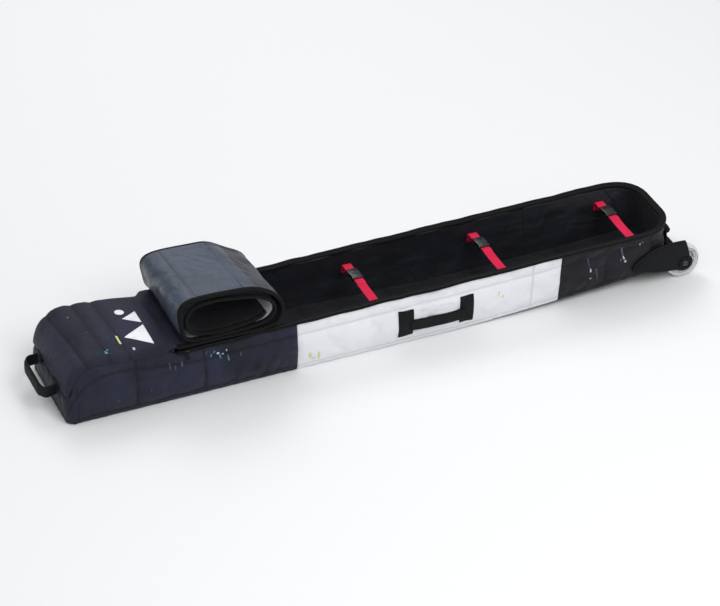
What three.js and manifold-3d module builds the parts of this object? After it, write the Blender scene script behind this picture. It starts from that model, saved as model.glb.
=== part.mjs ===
// A padded, wheeled ski bag lying open on the ground, in millimetres.
// The origin is on the ground under the middle of the bag. +X runs to the wheeled tail, -Y is the near
// side and +Z is up. The lid is peeled back from the tail and rolled up at the start of the opening.
import * as THREE from "three";
import { mergeVertices } from "three/addons/utils/BufferGeometryUtils.js";
import Module from "manifold-3d";

// ---------------------------------------------------------------- driving dimensions
const NOSE_X = -834;
const TAIL_X = 890;
const HINGE_X = -535;
const WHITE_START_X = -200;
const WHITE_END_X = 560;

const WALL = 10;
const PANEL = 8;
const GAP = 0.4;
const DECK_GAP = 2.5;
const FLOOR_GAP = 1.5;

const NOSE_BASE_HALF = 150;
const TAIL_BASE_HALF = 106;
const RIM_HALF = 134;
const NOSE_HALF = 142;
const BULGE = 8;
const TAIL_BULGE = 1;
const TAIL_FLARE = 3;
const NOSE_CORNER = 26;
const TAIL_CORNER = 42;

const RISE_START_X = 250;
const TAIL_RISE = 36;
const RIM_START = 140;
const RIM_SLOPE = 0.0275;

const WEBBING = 25;
const WEB_THICK = 2;

const SIDES = { near: -1, far: 1 };
const RIGHT_ANGLE = Math.PI / 2;

// ---------------------------------------------------------------- materials
const cloth = (color, roughness = 0.85) =>
  new THREE.MeshStandardMaterial({ color, roughness, metalness: 0 });
const MATERIALS = {
  navy: cloth(0x2f2d3c),
  charcoal: cloth(0x24242b),
  white: cloth(0xe6e7eb, 0.7),
  lining: cloth(0x15161a),
  sheenLining: cloth(0x4b515e, 0.5),
  binding: cloth(0x121216),
  webbing: cloth(0x1c1d21),
  redWebbing: cloth(0xe82a58),
  blackPlastic: cloth(0x17181b, 0.45),
  moulding: cloth(0x26272b, 0.55),
  tyre: cloth(0xd7d9dc, 0.3),
  hub: cloth(0xc3c5ca, 0.4),
  steel: new THREE.MeshStandardMaterial({ color: 0xa4a6a9, roughness: 0.3, metalness: 1 }),
};

// ---------------------------------------------------------------- small helpers
const part = new THREE.Group();

function add(name, material, geometry, group = part) {
  const mesh = new THREE.Mesh(geometry, MATERIALS[material]);
  mesh.name = name;
  group.add(mesh);
  return mesh;
}

const mix = (a, b, share) => a + (b - a) * share;
const clamp01 = (value) => Math.min(1, Math.max(0, value));
const ease = (value) => 0.5 - 0.5 * Math.cos(Math.PI * clamp01(value));

// Turns every triangle round when the closed geometry's volume comes out negative.
function facingOut(geometry) {
  const index = geometry.index;
  const [a, b, c] = [new THREE.Vector3(), new THREE.Vector3(), new THREE.Vector3()];
  let volume = 0;
  for (let i = 0; i < index.count; i += 3) {
    a.fromBufferAttribute(geometry.attributes.position, index.getX(i));
    b.fromBufferAttribute(geometry.attributes.position, index.getX(i + 1));
    c.fromBufferAttribute(geometry.attributes.position, index.getX(i + 2));
    volume += a.dot(b.cross(c));
  }
  if (volume < 0) {
    for (let i = 0; i < index.count; i += 3) {
      const second = index.getX(i + 1);
      index.setX(i + 1, index.getX(i + 2));
      index.setX(i + 2, second);
    }
  }
  geometry.computeVertexNormals();
  return geometry;
}

// A curved sheet: place(u, v, t) gives the point at shares u and v along it and t through its thickness.
function sheet(uSteps, vSteps, place) {
  const geometry = new THREE.BoxGeometry(1, 1, 1, uSteps, vSteps, 1);
  const position = geometry.attributes.position;
  const share = new THREE.Vector3();
  for (let i = 0; i < position.count; i++) {
    share.fromBufferAttribute(position, i).addScalar(0.5);
    position.setXYZ(i, ...place(share.x, share.y, share.z));
  }
  return facingOut(geometry);
}

// An outline drawn in X and Z, made solid between two Y values.
function acrossY(shape, fromY, toY, curveSegments = 6) {
  const depth = toY - fromY;
  const geometry = new THREE.ExtrudeGeometry(shape, { depth, curveSegments, bevelEnabled: false });
  return geometry.rotateX(RIGHT_ANGLE).translate(0, toY, 0);
}

// An outline drawn in Y and Z, made solid between two X values.
function alongX(shape, fromX, toX, curveSegments = 6) {
  const depth = toX - fromX;
  const geometry = new THREE.ExtrudeGeometry(shape, { depth, curveSegments, bevelEnabled: false });
  return geometry.rotateX(RIGHT_ANGLE).rotateZ(RIGHT_ANGLE).translate(fromX, 0, 0);
}

function polygon(points) {
  return new THREE.Shape(points.map(([x, y]) => new THREE.Vector2(x, y)));
}

function roundedRect(width, height, radius, centreX = 0, centreY = 0) {
  const [w, h] = [width / 2 - radius, height / 2 - radius];
  const shape = new THREE.Shape();
  shape.absarc(centreX + w, centreY + h, radius, 0, RIGHT_ANGLE, false);
  shape.absarc(centreX - w, centreY + h, radius, RIGHT_ANGLE, 2 * RIGHT_ANGLE, false);
  shape.absarc(centreX - w, centreY - h, radius, 2 * RIGHT_ANGLE, 3 * RIGHT_ANGLE, false);
  shape.absarc(centreX + w, centreY - h, radius, 3 * RIGHT_ANGLE, 4 * RIGHT_ANGLE, false);
  return shape;
}

// Solids for joins and cuts.
const wasm = await Module();
wasm.setup();

function solidOf(geometry) {
  const bare = geometry.clone();
  bare.deleteAttribute("normal");
  bare.deleteAttribute("uv");
  const merged = mergeVertices(bare, 1e-3);
  const mesh = new wasm.Mesh({
    numProp: 3,
    vertProperties: merged.attributes.position.array,
    triVerts: new Uint32Array(merged.index.array),
  });
  return new wasm.Manifold(mesh);
}

function geometryOf(solid) {
  const mesh = solid.getMesh();
  const geometry = new THREE.BufferGeometry();
  geometry.setAttribute("position", new THREE.BufferAttribute(mesh.vertProperties, 3));
  geometry.setIndex(new THREE.BufferAttribute(mesh.triVerts, 1));
  geometry.computeVertexNormals();
  return geometry;
}

// ---------------------------------------------------------------- the bag's own shape
const tailShare = (x) => clamp01((x - RISE_START_X) / (TAIL_X - RISE_START_X));
const baseZ = (x) => TAIL_RISE * tailShare(x) ** 1.3;
const rimZ = (x) => RIM_START + RIM_SLOPE * (x - HINGE_X);

// Half the bag's width along its rim: the closed nose is a little wider than the opening.
const NOSE_TAPER = 80;
const rimHalf = (x) => mix(RIM_HALF, NOSE_HALF, ease((DECK_END_X - x) / NOSE_TAPER));

// Half the bag's width at X and at a share of the wall's height: the walls bulge between base and rim,
// and at the tail they flare out above the wheels.
function halfWidth(x, share) {
  const tail = ease(tailShare(x));
  const base = mix(NOSE_BASE_HALF, TAIL_BASE_HALF, (x - NOSE_X) / (TAIL_X - NOSE_X));
  const bulge = mix(BULGE, TAIL_BULGE, tail);
  const flare = share ** mix(1, TAIL_FLARE, tail);
  return mix(base, rimHalf(x), flare) + bulge * Math.sin(Math.PI * share);
}

// The closed nose: seen from the side, its deck falls from a low crest to the front in a quarter ellipse.
const DECK_END_X = HINGE_X - 9;
const CREST_X = -750;
const FRONT_REACH = 70;
const FRONT_Z = 80;
const CREST_Z = 160;
const SEAM_AT_HINGE = 146;
const CROWN = 8;

function seamZ(x) {
  if (x > CREST_X) return mix(CREST_Z, SEAM_AT_HINGE, ease((x - CREST_X) / (DECK_END_X - CREST_X)));
  const out = Math.min(1, (CREST_X - x) / FRONT_REACH);
  return FRONT_Z + (CREST_Z - FRONT_Z) * Math.sqrt(1 - out ** 2);
}

const wallTopZ = (x) => (x < HINGE_X - 4 ? seamZ(x) : rimZ(x));

// A rounded end seen from above: share runs from -1 at the near side to 1 at the far side.
function roundedEnd(share, half, radius) {
  const reach = Math.abs(share);
  if (reach <= 0.5) return { back: 0, y: 2 * share * (half - radius) };
  const angle = (reach - 0.5) * Math.PI;
  const y = Math.sign(share) * (half - radius + radius * Math.sin(angle));
  return { back: radius * (1 - Math.cos(angle)), y };
}

// ---------------------------------------------------------------- padded body panels
const WALL_STEPS = 6;
const END_STEPS = 12;

// Places along the nose's wall: close together where its top curves, and a pair where the deck ends.
const NOSE_PLACES = [-800, -790, -778, -764, -745, -710, -650, -600, DECK_END_X, HINGE_X - 3, -450, -320];

function sideWall(side, stations) {
  const steps = stations.length - 1;
  return sheet(steps, WALL_STEPS, (u, v, t) => {
    const x = stations[Math.round(u * steps)];
    const y = side * (halfWidth(x, v) - t * WALL);
    return [x, y, mix(baseZ(x), wallTopZ(x), v)];
  });
}

const evenly = (from, to, steps) => Array.from({ length: steps + 1 }, (_, i) => mix(from, to, i / steps));

function addSideWalls() {
  const noseStart = NOSE_X + NOSE_CORNER + GAP;
  const tailEnd = TAIL_X - TAIL_CORNER - GAP;
  const nose = [noseStart, ...NOSE_PLACES, WHITE_START_X - GAP];
  for (const [name, side] of Object.entries(SIDES)) {
    add(`side_panel_${name}_nose`, "navy", sideWall(side, nose));
    add(`side_panel_${name}_middle`, "white", sideWall(side, evenly(WHITE_START_X, WHITE_END_X, 6)));
    add(`side_panel_${name}_tail`, "charcoal", sideWall(side, evenly(WHITE_END_X + GAP, tailEnd, 5)));
  }
}

function addNoseEnd() {
  const panel = sheet(END_STEPS, WALL_STEPS, (u, v, t) => {
    const share = 2 * u - 1;
    const radius = NOSE_CORNER - t * WALL;
    const half = halfWidth(NOSE_X, v) - t * WALL;
    const end = roundedEnd(share, half, radius);
    const outerBack = roundedEnd(share, half, NOSE_CORNER).back;
    return [NOSE_X + t * WALL + end.back, end.y, v * seamZ(NOSE_X + outerBack)];
  });
  add("nose_end_panel", "navy", panel);
}

function addTailEnd() {
  const panel = sheet(END_STEPS, WALL_STEPS, (u, v, t) => {
    const share = 2 * u - 1;
    const radius = TAIL_CORNER - t * WALL;
    const half = halfWidth(TAIL_X, v) - t * WALL;
    const end = roundedEnd(share, half, radius);
    const x = TAIL_X - t * WALL - end.back;
    return [x, end.y, mix(baseZ(x), rimZ(x), v)];
  });
  add("tail_end_panel", "charcoal", panel);
}

// A point of the deck's underside and the direction out of it, at a share of the way from the front: the
// first part goes round the quarter ellipse and the rest runs to the hinge.
const FRONT_SHARE = 0.5;
const FRONT_ANGLE = 0.88 * RIGHT_ANGLE;

function deckLine(share) {
  if (share < FRONT_SHARE) {
    const angle = FRONT_ANGLE * (1 - share / FRONT_SHARE);
    const drop = CREST_Z - FRONT_Z;
    const out = new THREE.Vector2(-Math.sin(angle) / FRONT_REACH, Math.cos(angle) / drop).normalize();
    return { x: CREST_X - FRONT_REACH * Math.sin(angle), z: FRONT_Z + drop * Math.cos(angle), out };
  }
  const x = mix(CREST_X, DECK_END_X, (share - FRONT_SHARE) / (1 - FRONT_SHARE));
  return { x, z: seamZ(x), out: new THREE.Vector2(0, 1) };
}

function addNoseDeck() {
  const deck = sheet(16, 10, (u, v, t) => {
    const { x, z, out } = deckLine(u);
    const intoCorner = Math.max(0, NOSE_CORNER - (x - NOSE_X));
    const half = rimHalf(x) - NOSE_CORNER + Math.sqrt(NOSE_CORNER ** 2 - intoCorner ** 2);
    const across = 2 * v - 1;
    const crown = CROWN * (1 - across ** 2) * clamp01((x - NOSE_X) / (CREST_X - NOSE_X));
    return [x + t * PANEL * out.x, across * half, z + DECK_GAP + crown + t * PANEL * out.y];
  });
  add("nose_deck", "navy", deck);
}

function addFloor() {
  const floor = (fromX, toX, lift, clearance) =>
    sheet(9, 1, (u, v, t) => {
      const x = mix(fromX, toX, u);
      const half = halfWidth(x, 0) - WALL - clearance;
      return [x, (2 * v - 1) * half, baseZ(x) + lift + t * PANEL];
    });
  add("base_panel", "charcoal", floor(NOSE_X + 30, TAIL_X - 50, 0, FLOOR_GAP));
  add("floor_pad", "lining", floor(NOSE_X + 40, TAIL_X - 60, PANEL + GAP, 6));
}

// ---------------------------------------------------------------- the zip along the rim
const TAPE_THICK = 3;
const TAPE_IN = 10;
const TAPE_OUT = 8;
const TAPE_START_X = HINGE_X + 2;
const TAPE_END_X = TAIL_X - TAIL_CORNER - GAP;

function addZipTape() {
  for (const [name, side] of Object.entries(SIDES)) {
    const tape = sheet(1, 1, (u, v, t) => {
      const x = mix(TAPE_START_X, TAPE_END_X, u);
      const y = side * (RIM_HALF - TAPE_IN + v * (TAPE_IN + TAPE_OUT));
      return [x, y, rimZ(x) + GAP + t * TAPE_THICK];
    });
    add(`zip_tape_${name}`, "binding", tape);
  }
  const tail = sheet(END_STEPS, 1, (u, v, t) => {
    const offset = mix(-TAPE_IN, TAPE_OUT, v);
    const end = roundedEnd(2 * u - 1, RIM_HALF + offset, TAIL_CORNER + offset);
    const x = TAIL_X + offset - end.back;
    return [x, end.y, rimZ(x) + 2 * GAP + t * TAPE_THICK];
  });
  add("zip_tape_tail", "binding", tail);
}

const SLIDER_LENGTH = 14;
const SLIDER_TOP = 2.6;
const SLIDER_X = -512;
const PULL_LENGTH = 26;
const PULL_WIDTH = 8;

// Each slider hooks over the tape's outer edge, and its pull tab hangs beside it.
function addZipSliders() {
  const rim = rimZ(SLIDER_X);
  const inner = RIM_HALF + TAPE_OUT - 5;
  const edge = RIM_HALF + TAPE_OUT + GAP;
  const outer = edge + 4;
  const tapeTop = rim + GAP + TAPE_THICK + 2 * GAP;
  for (const [name, side] of Object.entries(SIDES)) {
    const profile = polygon([
      [side * inner, tapeTop],
      [side * edge, tapeTop],
      [side * edge, rim - 3],
      [side * outer, rim - 3],
      [side * outer, tapeTop + SLIDER_TOP],
      [side * inner, tapeTop + SLIDER_TOP],
    ]);
    const slider = alongX(profile, SLIDER_X, SLIDER_X + SLIDER_LENGTH);
    add(`zip_slider_${name}`, "blackPlastic", slider);

    const tab = roundedRect(PULL_WIDTH, PULL_LENGTH, 3, SLIDER_X + SLIDER_LENGTH / 2, rim + 4 - PULL_LENGTH / 2);
    const near = side * (outer + GAP);
    const far = side * (outer + GAP + 2);
    const pull = acrossY(tab, Math.min(near, far), Math.max(near, far), 3);
    add(`zip_pull_${name}`, "webbing", pull);
  }
}

// ---------------------------------------------------------------- the lid, rolled back
const LID_HALF = 145;
const LID_THICK = 7;
const LID_BASE_Z = 155;
const BINDING_WIDTH = 6.5;
const BINDING_THICK = 9;
// The roll's three turns, as the centre and the radius of the sheet's middle line.
const OUTER_TURN = { x: -305, z: 228.5, radius: 70 };
const LEFT_TURN = { x: -462, z: 234.5, radius: 64 };
const INNER_TURN = { x: -306, z: 229, radius: 58.5 };
const ROLL_END_X = -452;
const ROLL_STEPS = 8;
const LID_BASE_END_X = OUTER_TURN.x - 42;

function rollOutline(thickness) {
  const half = thickness / 2;
  const shape = new THREE.Shape();
  const turn = (at, offset, from, to, clockwise) =>
    shape.absarc(at.x, at.z, at.radius + offset, from * RIGHT_ANGLE, to * RIGHT_ANGLE, clockwise);
  turn(OUTER_TURN, half, -1, 1, false);
  turn(LEFT_TURN, half, 1, 3, false);
  turn(INNER_TURN, half, -1, 1, false);
  shape.lineTo(ROLL_END_X, INNER_TURN.z + INNER_TURN.radius + half);
  shape.lineTo(ROLL_END_X, INNER_TURN.z + INNER_TURN.radius - half);
  turn(INNER_TURN, -half, 1, -1, true);
  turn(LEFT_TURN, -half, 3, 1, true);
  turn(OUTER_TURN, -half, 1, -1, true);
  return shape;
}

function addLid() {
  const middle = LID_BASE_Z + LID_THICK / 2;
  const length = LID_BASE_END_X - HINGE_X + 3;
  const base = roundedRect(length, LID_THICK, 2, HINGE_X - 3 + length / 2, middle);
  add("lid_base_panel", "sheenLining", acrossY(base, -LID_HALF, LID_HALF, 2));

  const inside = LID_HALF - BINDING_WIDTH;
  add("lid_roll_panel", "sheenLining", acrossY(rollOutline(LID_THICK), GAP - inside, inside - GAP, ROLL_STEPS));
  const edge = () => rollOutline(BINDING_THICK);
  add("lid_roll_binding_near", "binding", acrossY(edge(), -LID_HALF, -inside, ROLL_STEPS));
  add("lid_roll_binding_far", "binding", acrossY(edge(), inside, LID_HALF, ROLL_STEPS));
}

// ---------------------------------------------------------------- inner straps and buckles
const STRAPS = [
  { name: "front", x: 33, buckleY: 30 },
  { name: "middle", x: 400, buckleY: 30 },
  { name: "rear", x: 778, buckleY: 30 },
];
const STRAP_BELOW_RIM = 19;
const STRAP_REACH = 106;
const STRAP_TAB = 26;
const SOCKET = { width: 34, height: 11, length: 30, wall: 2.5 };
const TONGUE = { width: 31, height: 5, length: 20, prong: 5, reach: 26 };

// One strap half: webbing that runs down the wall's lining and then across the bag.
function strapWeb(side, x, fromY, z) {
  const wallY = side * STRAP_REACH;
  const inner = wallY - side * WEB_THICK;
  const profile = polygon([
    [wallY, z - STRAP_TAB],
    [wallY, z + WEB_THICK],
    [fromY, z + WEB_THICK],
    [fromY, z],
    [inner, z],
    [inner, z - STRAP_TAB],
  ]);
  return alongX(profile, x - WEBBING / 2, x + WEBBING / 2);
}

function tongueOutline(x, y) {
  const half = TONGUE.width / 2;
  const inside = SOCKET.width / 2 - SOCKET.wall - GAP;
  const tip = y - TONGUE.reach;
  return polygon([
    [x - half, y],
    [x - inside, y],
    [x - inside, tip],
    [x - inside + TONGUE.prong, tip],
    [x - inside + TONGUE.prong, y],
    [x + inside - TONGUE.prong, y],
    [x + inside - TONGUE.prong, tip],
    [x + inside, tip],
    [x + inside, y],
    [x + half, y],
    [x + half, y + TONGUE.length],
    [x - half, y + TONGUE.length],
  ]);
}

function addStraps() {
  for (const { name, x, buckleY } of STRAPS) {
    const z = rimZ(x) - STRAP_BELOW_RIM;
    const mouthY = buckleY + SOCKET.length / 2;
    const backY = buckleY - SOCKET.length / 2;
    const webZ = z - WEB_THICK / 2;
    add(`strap_short_${name}`, "redWebbing", strapWeb(-1, x, backY - GAP, webZ));

    const body = roundedRect(SOCKET.width, SOCKET.height, 3, x, z);
    const cavityWidth = SOCKET.width - 2 * SOCKET.wall;
    body.holes.push(roundedRect(cavityWidth, SOCKET.height - 2 * SOCKET.wall, 1, x, z));
    add(`buckle_socket_${name}`, "blackPlastic", acrossY(body, backY, mouthY, 2));

    const tongue = new THREE.ExtrudeGeometry(tongueOutline(x, mouthY + GAP), {
      depth: TONGUE.height,
      bevelEnabled: false,
    });
    add(`buckle_tongue_${name}`, "blackPlastic", tongue.translate(0, 0, z - TONGUE.height / 2));

    const underTongueZ = z - TONGUE.height / 2 - GAP - WEB_THICK;
    add(`strap_long_${name}`, "redWebbing", strapWeb(1, x, mouthY + 4, underTongueZ));
  }
}

// ---------------------------------------------------------------- side, nose and tail handles
const SIDE_PATCHES = { front: { from: 83, to: 127 }, rear: { from: 260, to: 300 } };
const PATCH_LOW = 0.2;
const PATCH_HIGH = 0.72;
const PATCH_THICK = 3;
const GRIP = { y: 145, z: 64, height: 27, thick: 9 };

function addSideHandles() {
  for (const [name, side] of Object.entries(SIDES)) {
    for (const [end, { from, to }] of Object.entries(SIDE_PATCHES)) {
      const patch = sheet(1, 5, (u, v, t) => {
        const x = mix(from, to, u);
        const share = mix(PATCH_LOW, PATCH_HIGH, v);
        const y = side * (halfWidth(x, share) + 1 + t * PATCH_THICK);
        return [x, y, mix(baseZ(x), rimZ(x), share)];
      });
      add(`side_handle_patch_${name}_${end}`, "webbing", patch);
    }
    const length = SIDE_PATCHES.rear.from - SIDE_PATCHES.front.to - 2 * GAP;
    const centreX = (SIDE_PATCHES.rear.from + SIDE_PATCHES.front.to) / 2;
    const bar = roundedRect(GRIP.thick, GRIP.height, 4, side * GRIP.y, GRIP.z);
    const grip = alongX(bar, centreX - length / 2, centreX + length / 2, 3);
    add(`side_handle_grip_${name}`, "webbing", grip);
  }
}

const END_HANDLE_HALF = 78;
const NOSE_HANDLE = { z: 72, height: 30, reach: 34, thick: 6 };
const TAIL_HANDLE = { z: 124, radius: 11, standOff: 8, strap: 20 };

// A flat loop seen from above: two feet on the nose panel and a grip bar standing off it. Its feet are
// rounded about the line on which it swings.
function addNoseHandle() {
  const { z, height, reach, thick } = NOSE_HANDLE;
  const half = END_HANDLE_HALF;
  const inner = half - thick;
  const foot = NOSE_X - 4 - GAP;
  const front = foot - reach;
  const [slope, innerSlope] = [16, 14];
  const loop = polygon([
    [foot, -half],
    [front + slope, -half],
    [front, slope - half],
    [front, half - slope],
    [front + slope, half],
    [foot, half],
    [foot, inner],
    [front + slope + 2, inner],
    [front + thick, inner - innerSlope],
    [front + thick, innerSlope - inner],
    [front + slope + 2, -inner],
    [foot, -inner],
  ]);
  const bar = new THREE.ExtrudeGeometry(loop, { depth: height, bevelEnabled: false });
  bar.translate(0, 0, z - height / 2);
  const sideView = new THREE.Shape();
  sideView.absarc(foot - height / 2, z, height / 2, -RIGHT_ANGLE, RIGHT_ANGLE, false);
  sideView.lineTo(front - 1, z + height / 2);
  sideView.lineTo(front - 1, z - height / 2);
  const envelope = acrossY(sideView, -half - 1, half + 1);
  add("nose_handle_grip", "webbing", geometryOf(solidOf(bar).intersect(solidOf(envelope))));

  for (const [name, side] of Object.entries(SIDES)) {
    const patch = new THREE.BoxGeometry(3, 34, height + 14);
    patch.translate(NOSE_X - 2, side * (half - 12), z);
    add(`nose_handle_patch_${name}`, "webbing", patch);
  }
}

function addTailHandle() {
  const { z, radius, standOff, strap } = TAIL_HANDLE;
  const x = TAIL_X + radius + standOff;
  const grip = new THREE.CylinderGeometry(radius, radius, 2 * END_HANDLE_HALF - strap, 16);
  add("tail_handle_grip", "webbing", grip.translate(x, 0, z));
  for (const [name, side] of Object.entries(SIDES)) {
    const patch = new THREE.BoxGeometry(3, strap, 2 * radius + 10);
    patch.translate(TAIL_X + 2.2, side * (END_HANDLE_HALF + 1), z);
    add(`tail_handle_patch_${name}`, "webbing", patch);
  }
}

// ---------------------------------------------------------------- wheels and their moulded chassis
const AXLE = { x: 935, z: 50, radius: 4 };
const WHEEL_RADIUS = 50;
const WHEEL_Y = 103;
const TYRE_WIDTH = 26;
const RIM_RADIUS = 38;
const BEARING_RADIUS = 11;
const RUNNING_GAP = 0.3;
const FENDER_Y = 119.5;
const FENDER_THICK = 6;
const CHASSIS_HALF = 84;

// A ring about the wheel's own axis, given as points of radius and of distance along the axle.
function ring(profile, side, segments) {
  const points = profile.map(([radius, along]) => new THREE.Vector2(radius, along));
  points.push(points[0].clone());
  const geometry = mergeVertices(new THREE.LatheGeometry(points, segments));
  return facingOut(geometry).translate(0, side * WHEEL_Y, 0);
}

function addWheels() {
  const half = TYRE_WIDTH / 2;
  const inner = RIM_RADIUS + RUNNING_GAP;
  const bore = BEARING_RADIUS + RUNNING_GAP;
  const tyre = [
    [inner, -half + 2],
    [WHEEL_RADIUS - 7, -half],
    [WHEEL_RADIUS - 2, -half + 5],
    [WHEEL_RADIUS, 0],
    [WHEEL_RADIUS - 2, half - 5],
    [WHEEL_RADIUS - 7, half],
    [inner, half - 2],
  ];
  const hub = [
    [bore, -half + 1],
    [bore + 6, -half + 1],
    [bore + 9, -4],
    [RIM_RADIUS - 6, -4],
    [RIM_RADIUS, -half + 3],
    [RIM_RADIUS, half - 3],
    [RIM_RADIUS - 6, 4],
    [bore + 9, 4],
    [bore + 6, half - 1],
    [bore, half - 1],
  ];
  const shaft = AXLE.radius + RUNNING_GAP;
  const bearing = (from, to) => [
    [shaft, from],
    [BEARING_RADIUS, from],
    [BEARING_RADIUS, to],
    [shaft, to],
  ];
  for (const [name, side] of Object.entries(SIDES)) {
    const wheel = new THREE.Group();
    wheel.position.set(AXLE.x, 0, AXLE.z);
    part.add(wheel);
    add(`tyre_${name}`, "tyre", ring(tyre, side, 28), wheel);
    add(`wheel_hub_${name}`, "hub", ring(hub, side, 20), wheel);
    add(`bearing_inner_${name}`, "steel", ring(bearing(-side * (half - 1), -side * 4), side, 16), wheel);
    add(`bearing_outer_${name}`, "steel", ring(bearing(side * 4, side * (half - 1)), side, 16), wheel);
  }
}

// Each axle is a bolt: its head sits outside the fender and its end meets the chassis.
function addAxles() {
  const headY = FENDER_Y + FENDER_THICK + GAP;
  const endY = CHASSIS_HALF + GAP;
  for (const [name, side] of Object.entries(SIDES)) {
    const profile = [
      [0, endY],
      [AXLE.radius, endY],
      [AXLE.radius, headY],
      [9, headY],
      [9, headY + 2.5],
      [6, headY + 4],
      [0, headY + 4],
    ];
    const points = profile.map(([radius, y]) => new THREE.Vector2(radius, side * y));
    const bolt = facingOut(mergeVertices(new THREE.LatheGeometry(points, 20)));
    add(`axle_${name}`, "steel", bolt.translate(AXLE.x, 0, AXLE.z));
  }
}

// The fender is a tapering plate: a point low on the bag's side, a boss round the axle and a square heel.
const BOSS_RADIUS = 24;

function fenderOutline() {
  const shape = new THREE.Shape();
  shape.moveTo(774, 60);
  shape.lineTo(807, 50);
  shape.quadraticCurveTo(862, 34, 905, 34);
  shape.absarc(AXLE.x, AXLE.z, BOSS_RADIUS, -0.7 * Math.PI, 0.3 * Math.PI, false);
  shape.quadraticCurveTo(943, 100, 934, 122);
  shape.quadraticCurveTo(880, 127, 840, 115);
  shape.quadraticCurveTo(806, 102, 776, 75);
  const hole = new THREE.Path();
  hole.absarc(AXLE.x, AXLE.z, AXLE.radius + RUNNING_GAP, 0, 4 * RIGHT_ANGLE, false);
  shape.holes.push(hole);
  return shape;
}

function addFenders() {
  const outer = FENDER_Y + FENDER_THICK;
  add("fender_near", "moulding", acrossY(fenderOutline(), -outer, -FENDER_Y, 8));
  add("fender_far", "moulding", acrossY(fenderOutline(), FENDER_Y, outer, 8));
}

// The chassis is an angle under and behind the tail, with a recess cut in its back for a hand.
function addChassis() {
  const back = AXLE.x - 13;
  const front = back - 24;
  const profile = polygon([
    [800, 16],
    [back, 16],
    [back, 92],
    [front, 92],
    [front, 28],
    [800, 27],
  ]);
  const angle = solidOf(acrossY(profile, -CHASSIS_HALF, CHASSIS_HALF));
  const recess = new THREE.BoxGeometry(24, 110, 30).translate(back, 0, 62);
  add("wheel_chassis", "moulding", geometryOf(angle.subtract(solidOf(recess))));
}

addFloor();
addSideWalls();
addNoseEnd();
addTailEnd();
addNoseDeck();
addZipTape();
addZipSliders();
addLid();
addStraps();
addSideHandles();
addNoseHandle();
addTailHandle();
addWheels();
addAxles();
addFenders();
addChassis();

export default part;
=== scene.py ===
"""A padded, wheeled ski bag lying open with its lid rolled back. Metres, +Z up, +X to the wheeled tail."""

import math
import random

import bmesh
import bpy
import numpy as np
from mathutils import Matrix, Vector, kdtree, noise
from mathutils.bvhtree import BVHTree


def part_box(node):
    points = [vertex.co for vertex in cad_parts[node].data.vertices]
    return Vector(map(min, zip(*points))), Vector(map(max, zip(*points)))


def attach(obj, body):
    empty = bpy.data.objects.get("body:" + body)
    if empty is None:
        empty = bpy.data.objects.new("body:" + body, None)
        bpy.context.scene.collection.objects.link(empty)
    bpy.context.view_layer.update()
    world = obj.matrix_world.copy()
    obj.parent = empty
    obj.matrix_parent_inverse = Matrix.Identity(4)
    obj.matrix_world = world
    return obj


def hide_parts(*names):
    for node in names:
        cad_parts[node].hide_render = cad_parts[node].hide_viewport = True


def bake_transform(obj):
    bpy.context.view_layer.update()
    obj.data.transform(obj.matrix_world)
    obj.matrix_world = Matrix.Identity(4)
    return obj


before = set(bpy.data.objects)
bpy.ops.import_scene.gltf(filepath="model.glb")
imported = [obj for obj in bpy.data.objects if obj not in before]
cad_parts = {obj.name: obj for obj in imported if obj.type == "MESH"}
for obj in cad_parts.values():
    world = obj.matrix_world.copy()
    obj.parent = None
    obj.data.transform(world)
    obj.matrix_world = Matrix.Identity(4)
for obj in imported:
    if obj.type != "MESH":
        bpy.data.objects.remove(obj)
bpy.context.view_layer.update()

# ------------------------------------------------------------------ dimensions, from the frame where it has them
NEAR, FAR = -1, 1
SIDES = {"near": NEAR, "far": FAR}
NOSE_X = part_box("nose_end_panel")[0].x
TAIL_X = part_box("tail_end_panel")[1].x
HINGE_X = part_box("lid_base_panel")[0].x + 0.003
NOSE_WALL_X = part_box("side_panel_near_nose")[0].x
WHITE_START_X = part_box("side_panel_near_middle")[0].x
WHITE_END_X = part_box("side_panel_near_middle")[1].x
TAIL_WALL_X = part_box("side_panel_near_tail")[1].x

WALL = 0.010
NOSE_BASE_HALF = 0.150
TAIL_BASE_HALF = 0.106
RIM_HALF = 0.134
NOSE_HALF = 0.142
NOSE_TAPER = 0.08
BULGE = 0.008
TAIL_BULGE = 0.001
TAIL_FLARE = 3
NOSE_CORNER = 0.026
TAIL_CORNER = 0.042
RIM_CORNER = 0.085
CORNER_BLEND_X = 0.68
RISE_START_X = 0.25
TAIL_RISE = 0.036
RIM_START = 0.140
RIM_SLOPE = 0.0275
DECK_END_X = HINGE_X - 0.009
CREST_X = -0.75
FRONT_REACH = 0.070
FRONT_Z = 0.080
CREST_Z = 0.160
SEAM_AT_HINGE = 0.146
SEAM_LIP = 0.0016
LOW_SEAM = 0.016
STRIP = 0.036
FABRIC_STEP = 0.0065


def mix(a, b, share):
    return a + (b - a) * share


def clamp01(value):
    return min(1.0, max(0.0, value))


def ease(value):
    return 0.5 - 0.5 * math.cos(math.pi * clamp01(value))


def tail_share(x):
    return clamp01((x - RISE_START_X) / (TAIL_X - RISE_START_X))


def base_z(x):
    return TAIL_RISE * tail_share(x) ** 1.3


def rim_z(x):
    return RIM_START + RIM_SLOPE * (x - HINGE_X)


def rim_half(x):
    return mix(RIM_HALF, NOSE_HALF, ease((DECK_END_X - x) / NOSE_TAPER))


def half_width(x, share):
    tail = ease(tail_share(x))
    base = mix(NOSE_BASE_HALF, TAIL_BASE_HALF, (x - NOSE_X) / (TAIL_X - NOSE_X))
    bulge = mix(BULGE, TAIL_BULGE, tail)
    flare = share ** mix(1, TAIL_FLARE, tail)
    return mix(base, rim_half(x), flare) + bulge * math.sin(math.pi * share)


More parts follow.
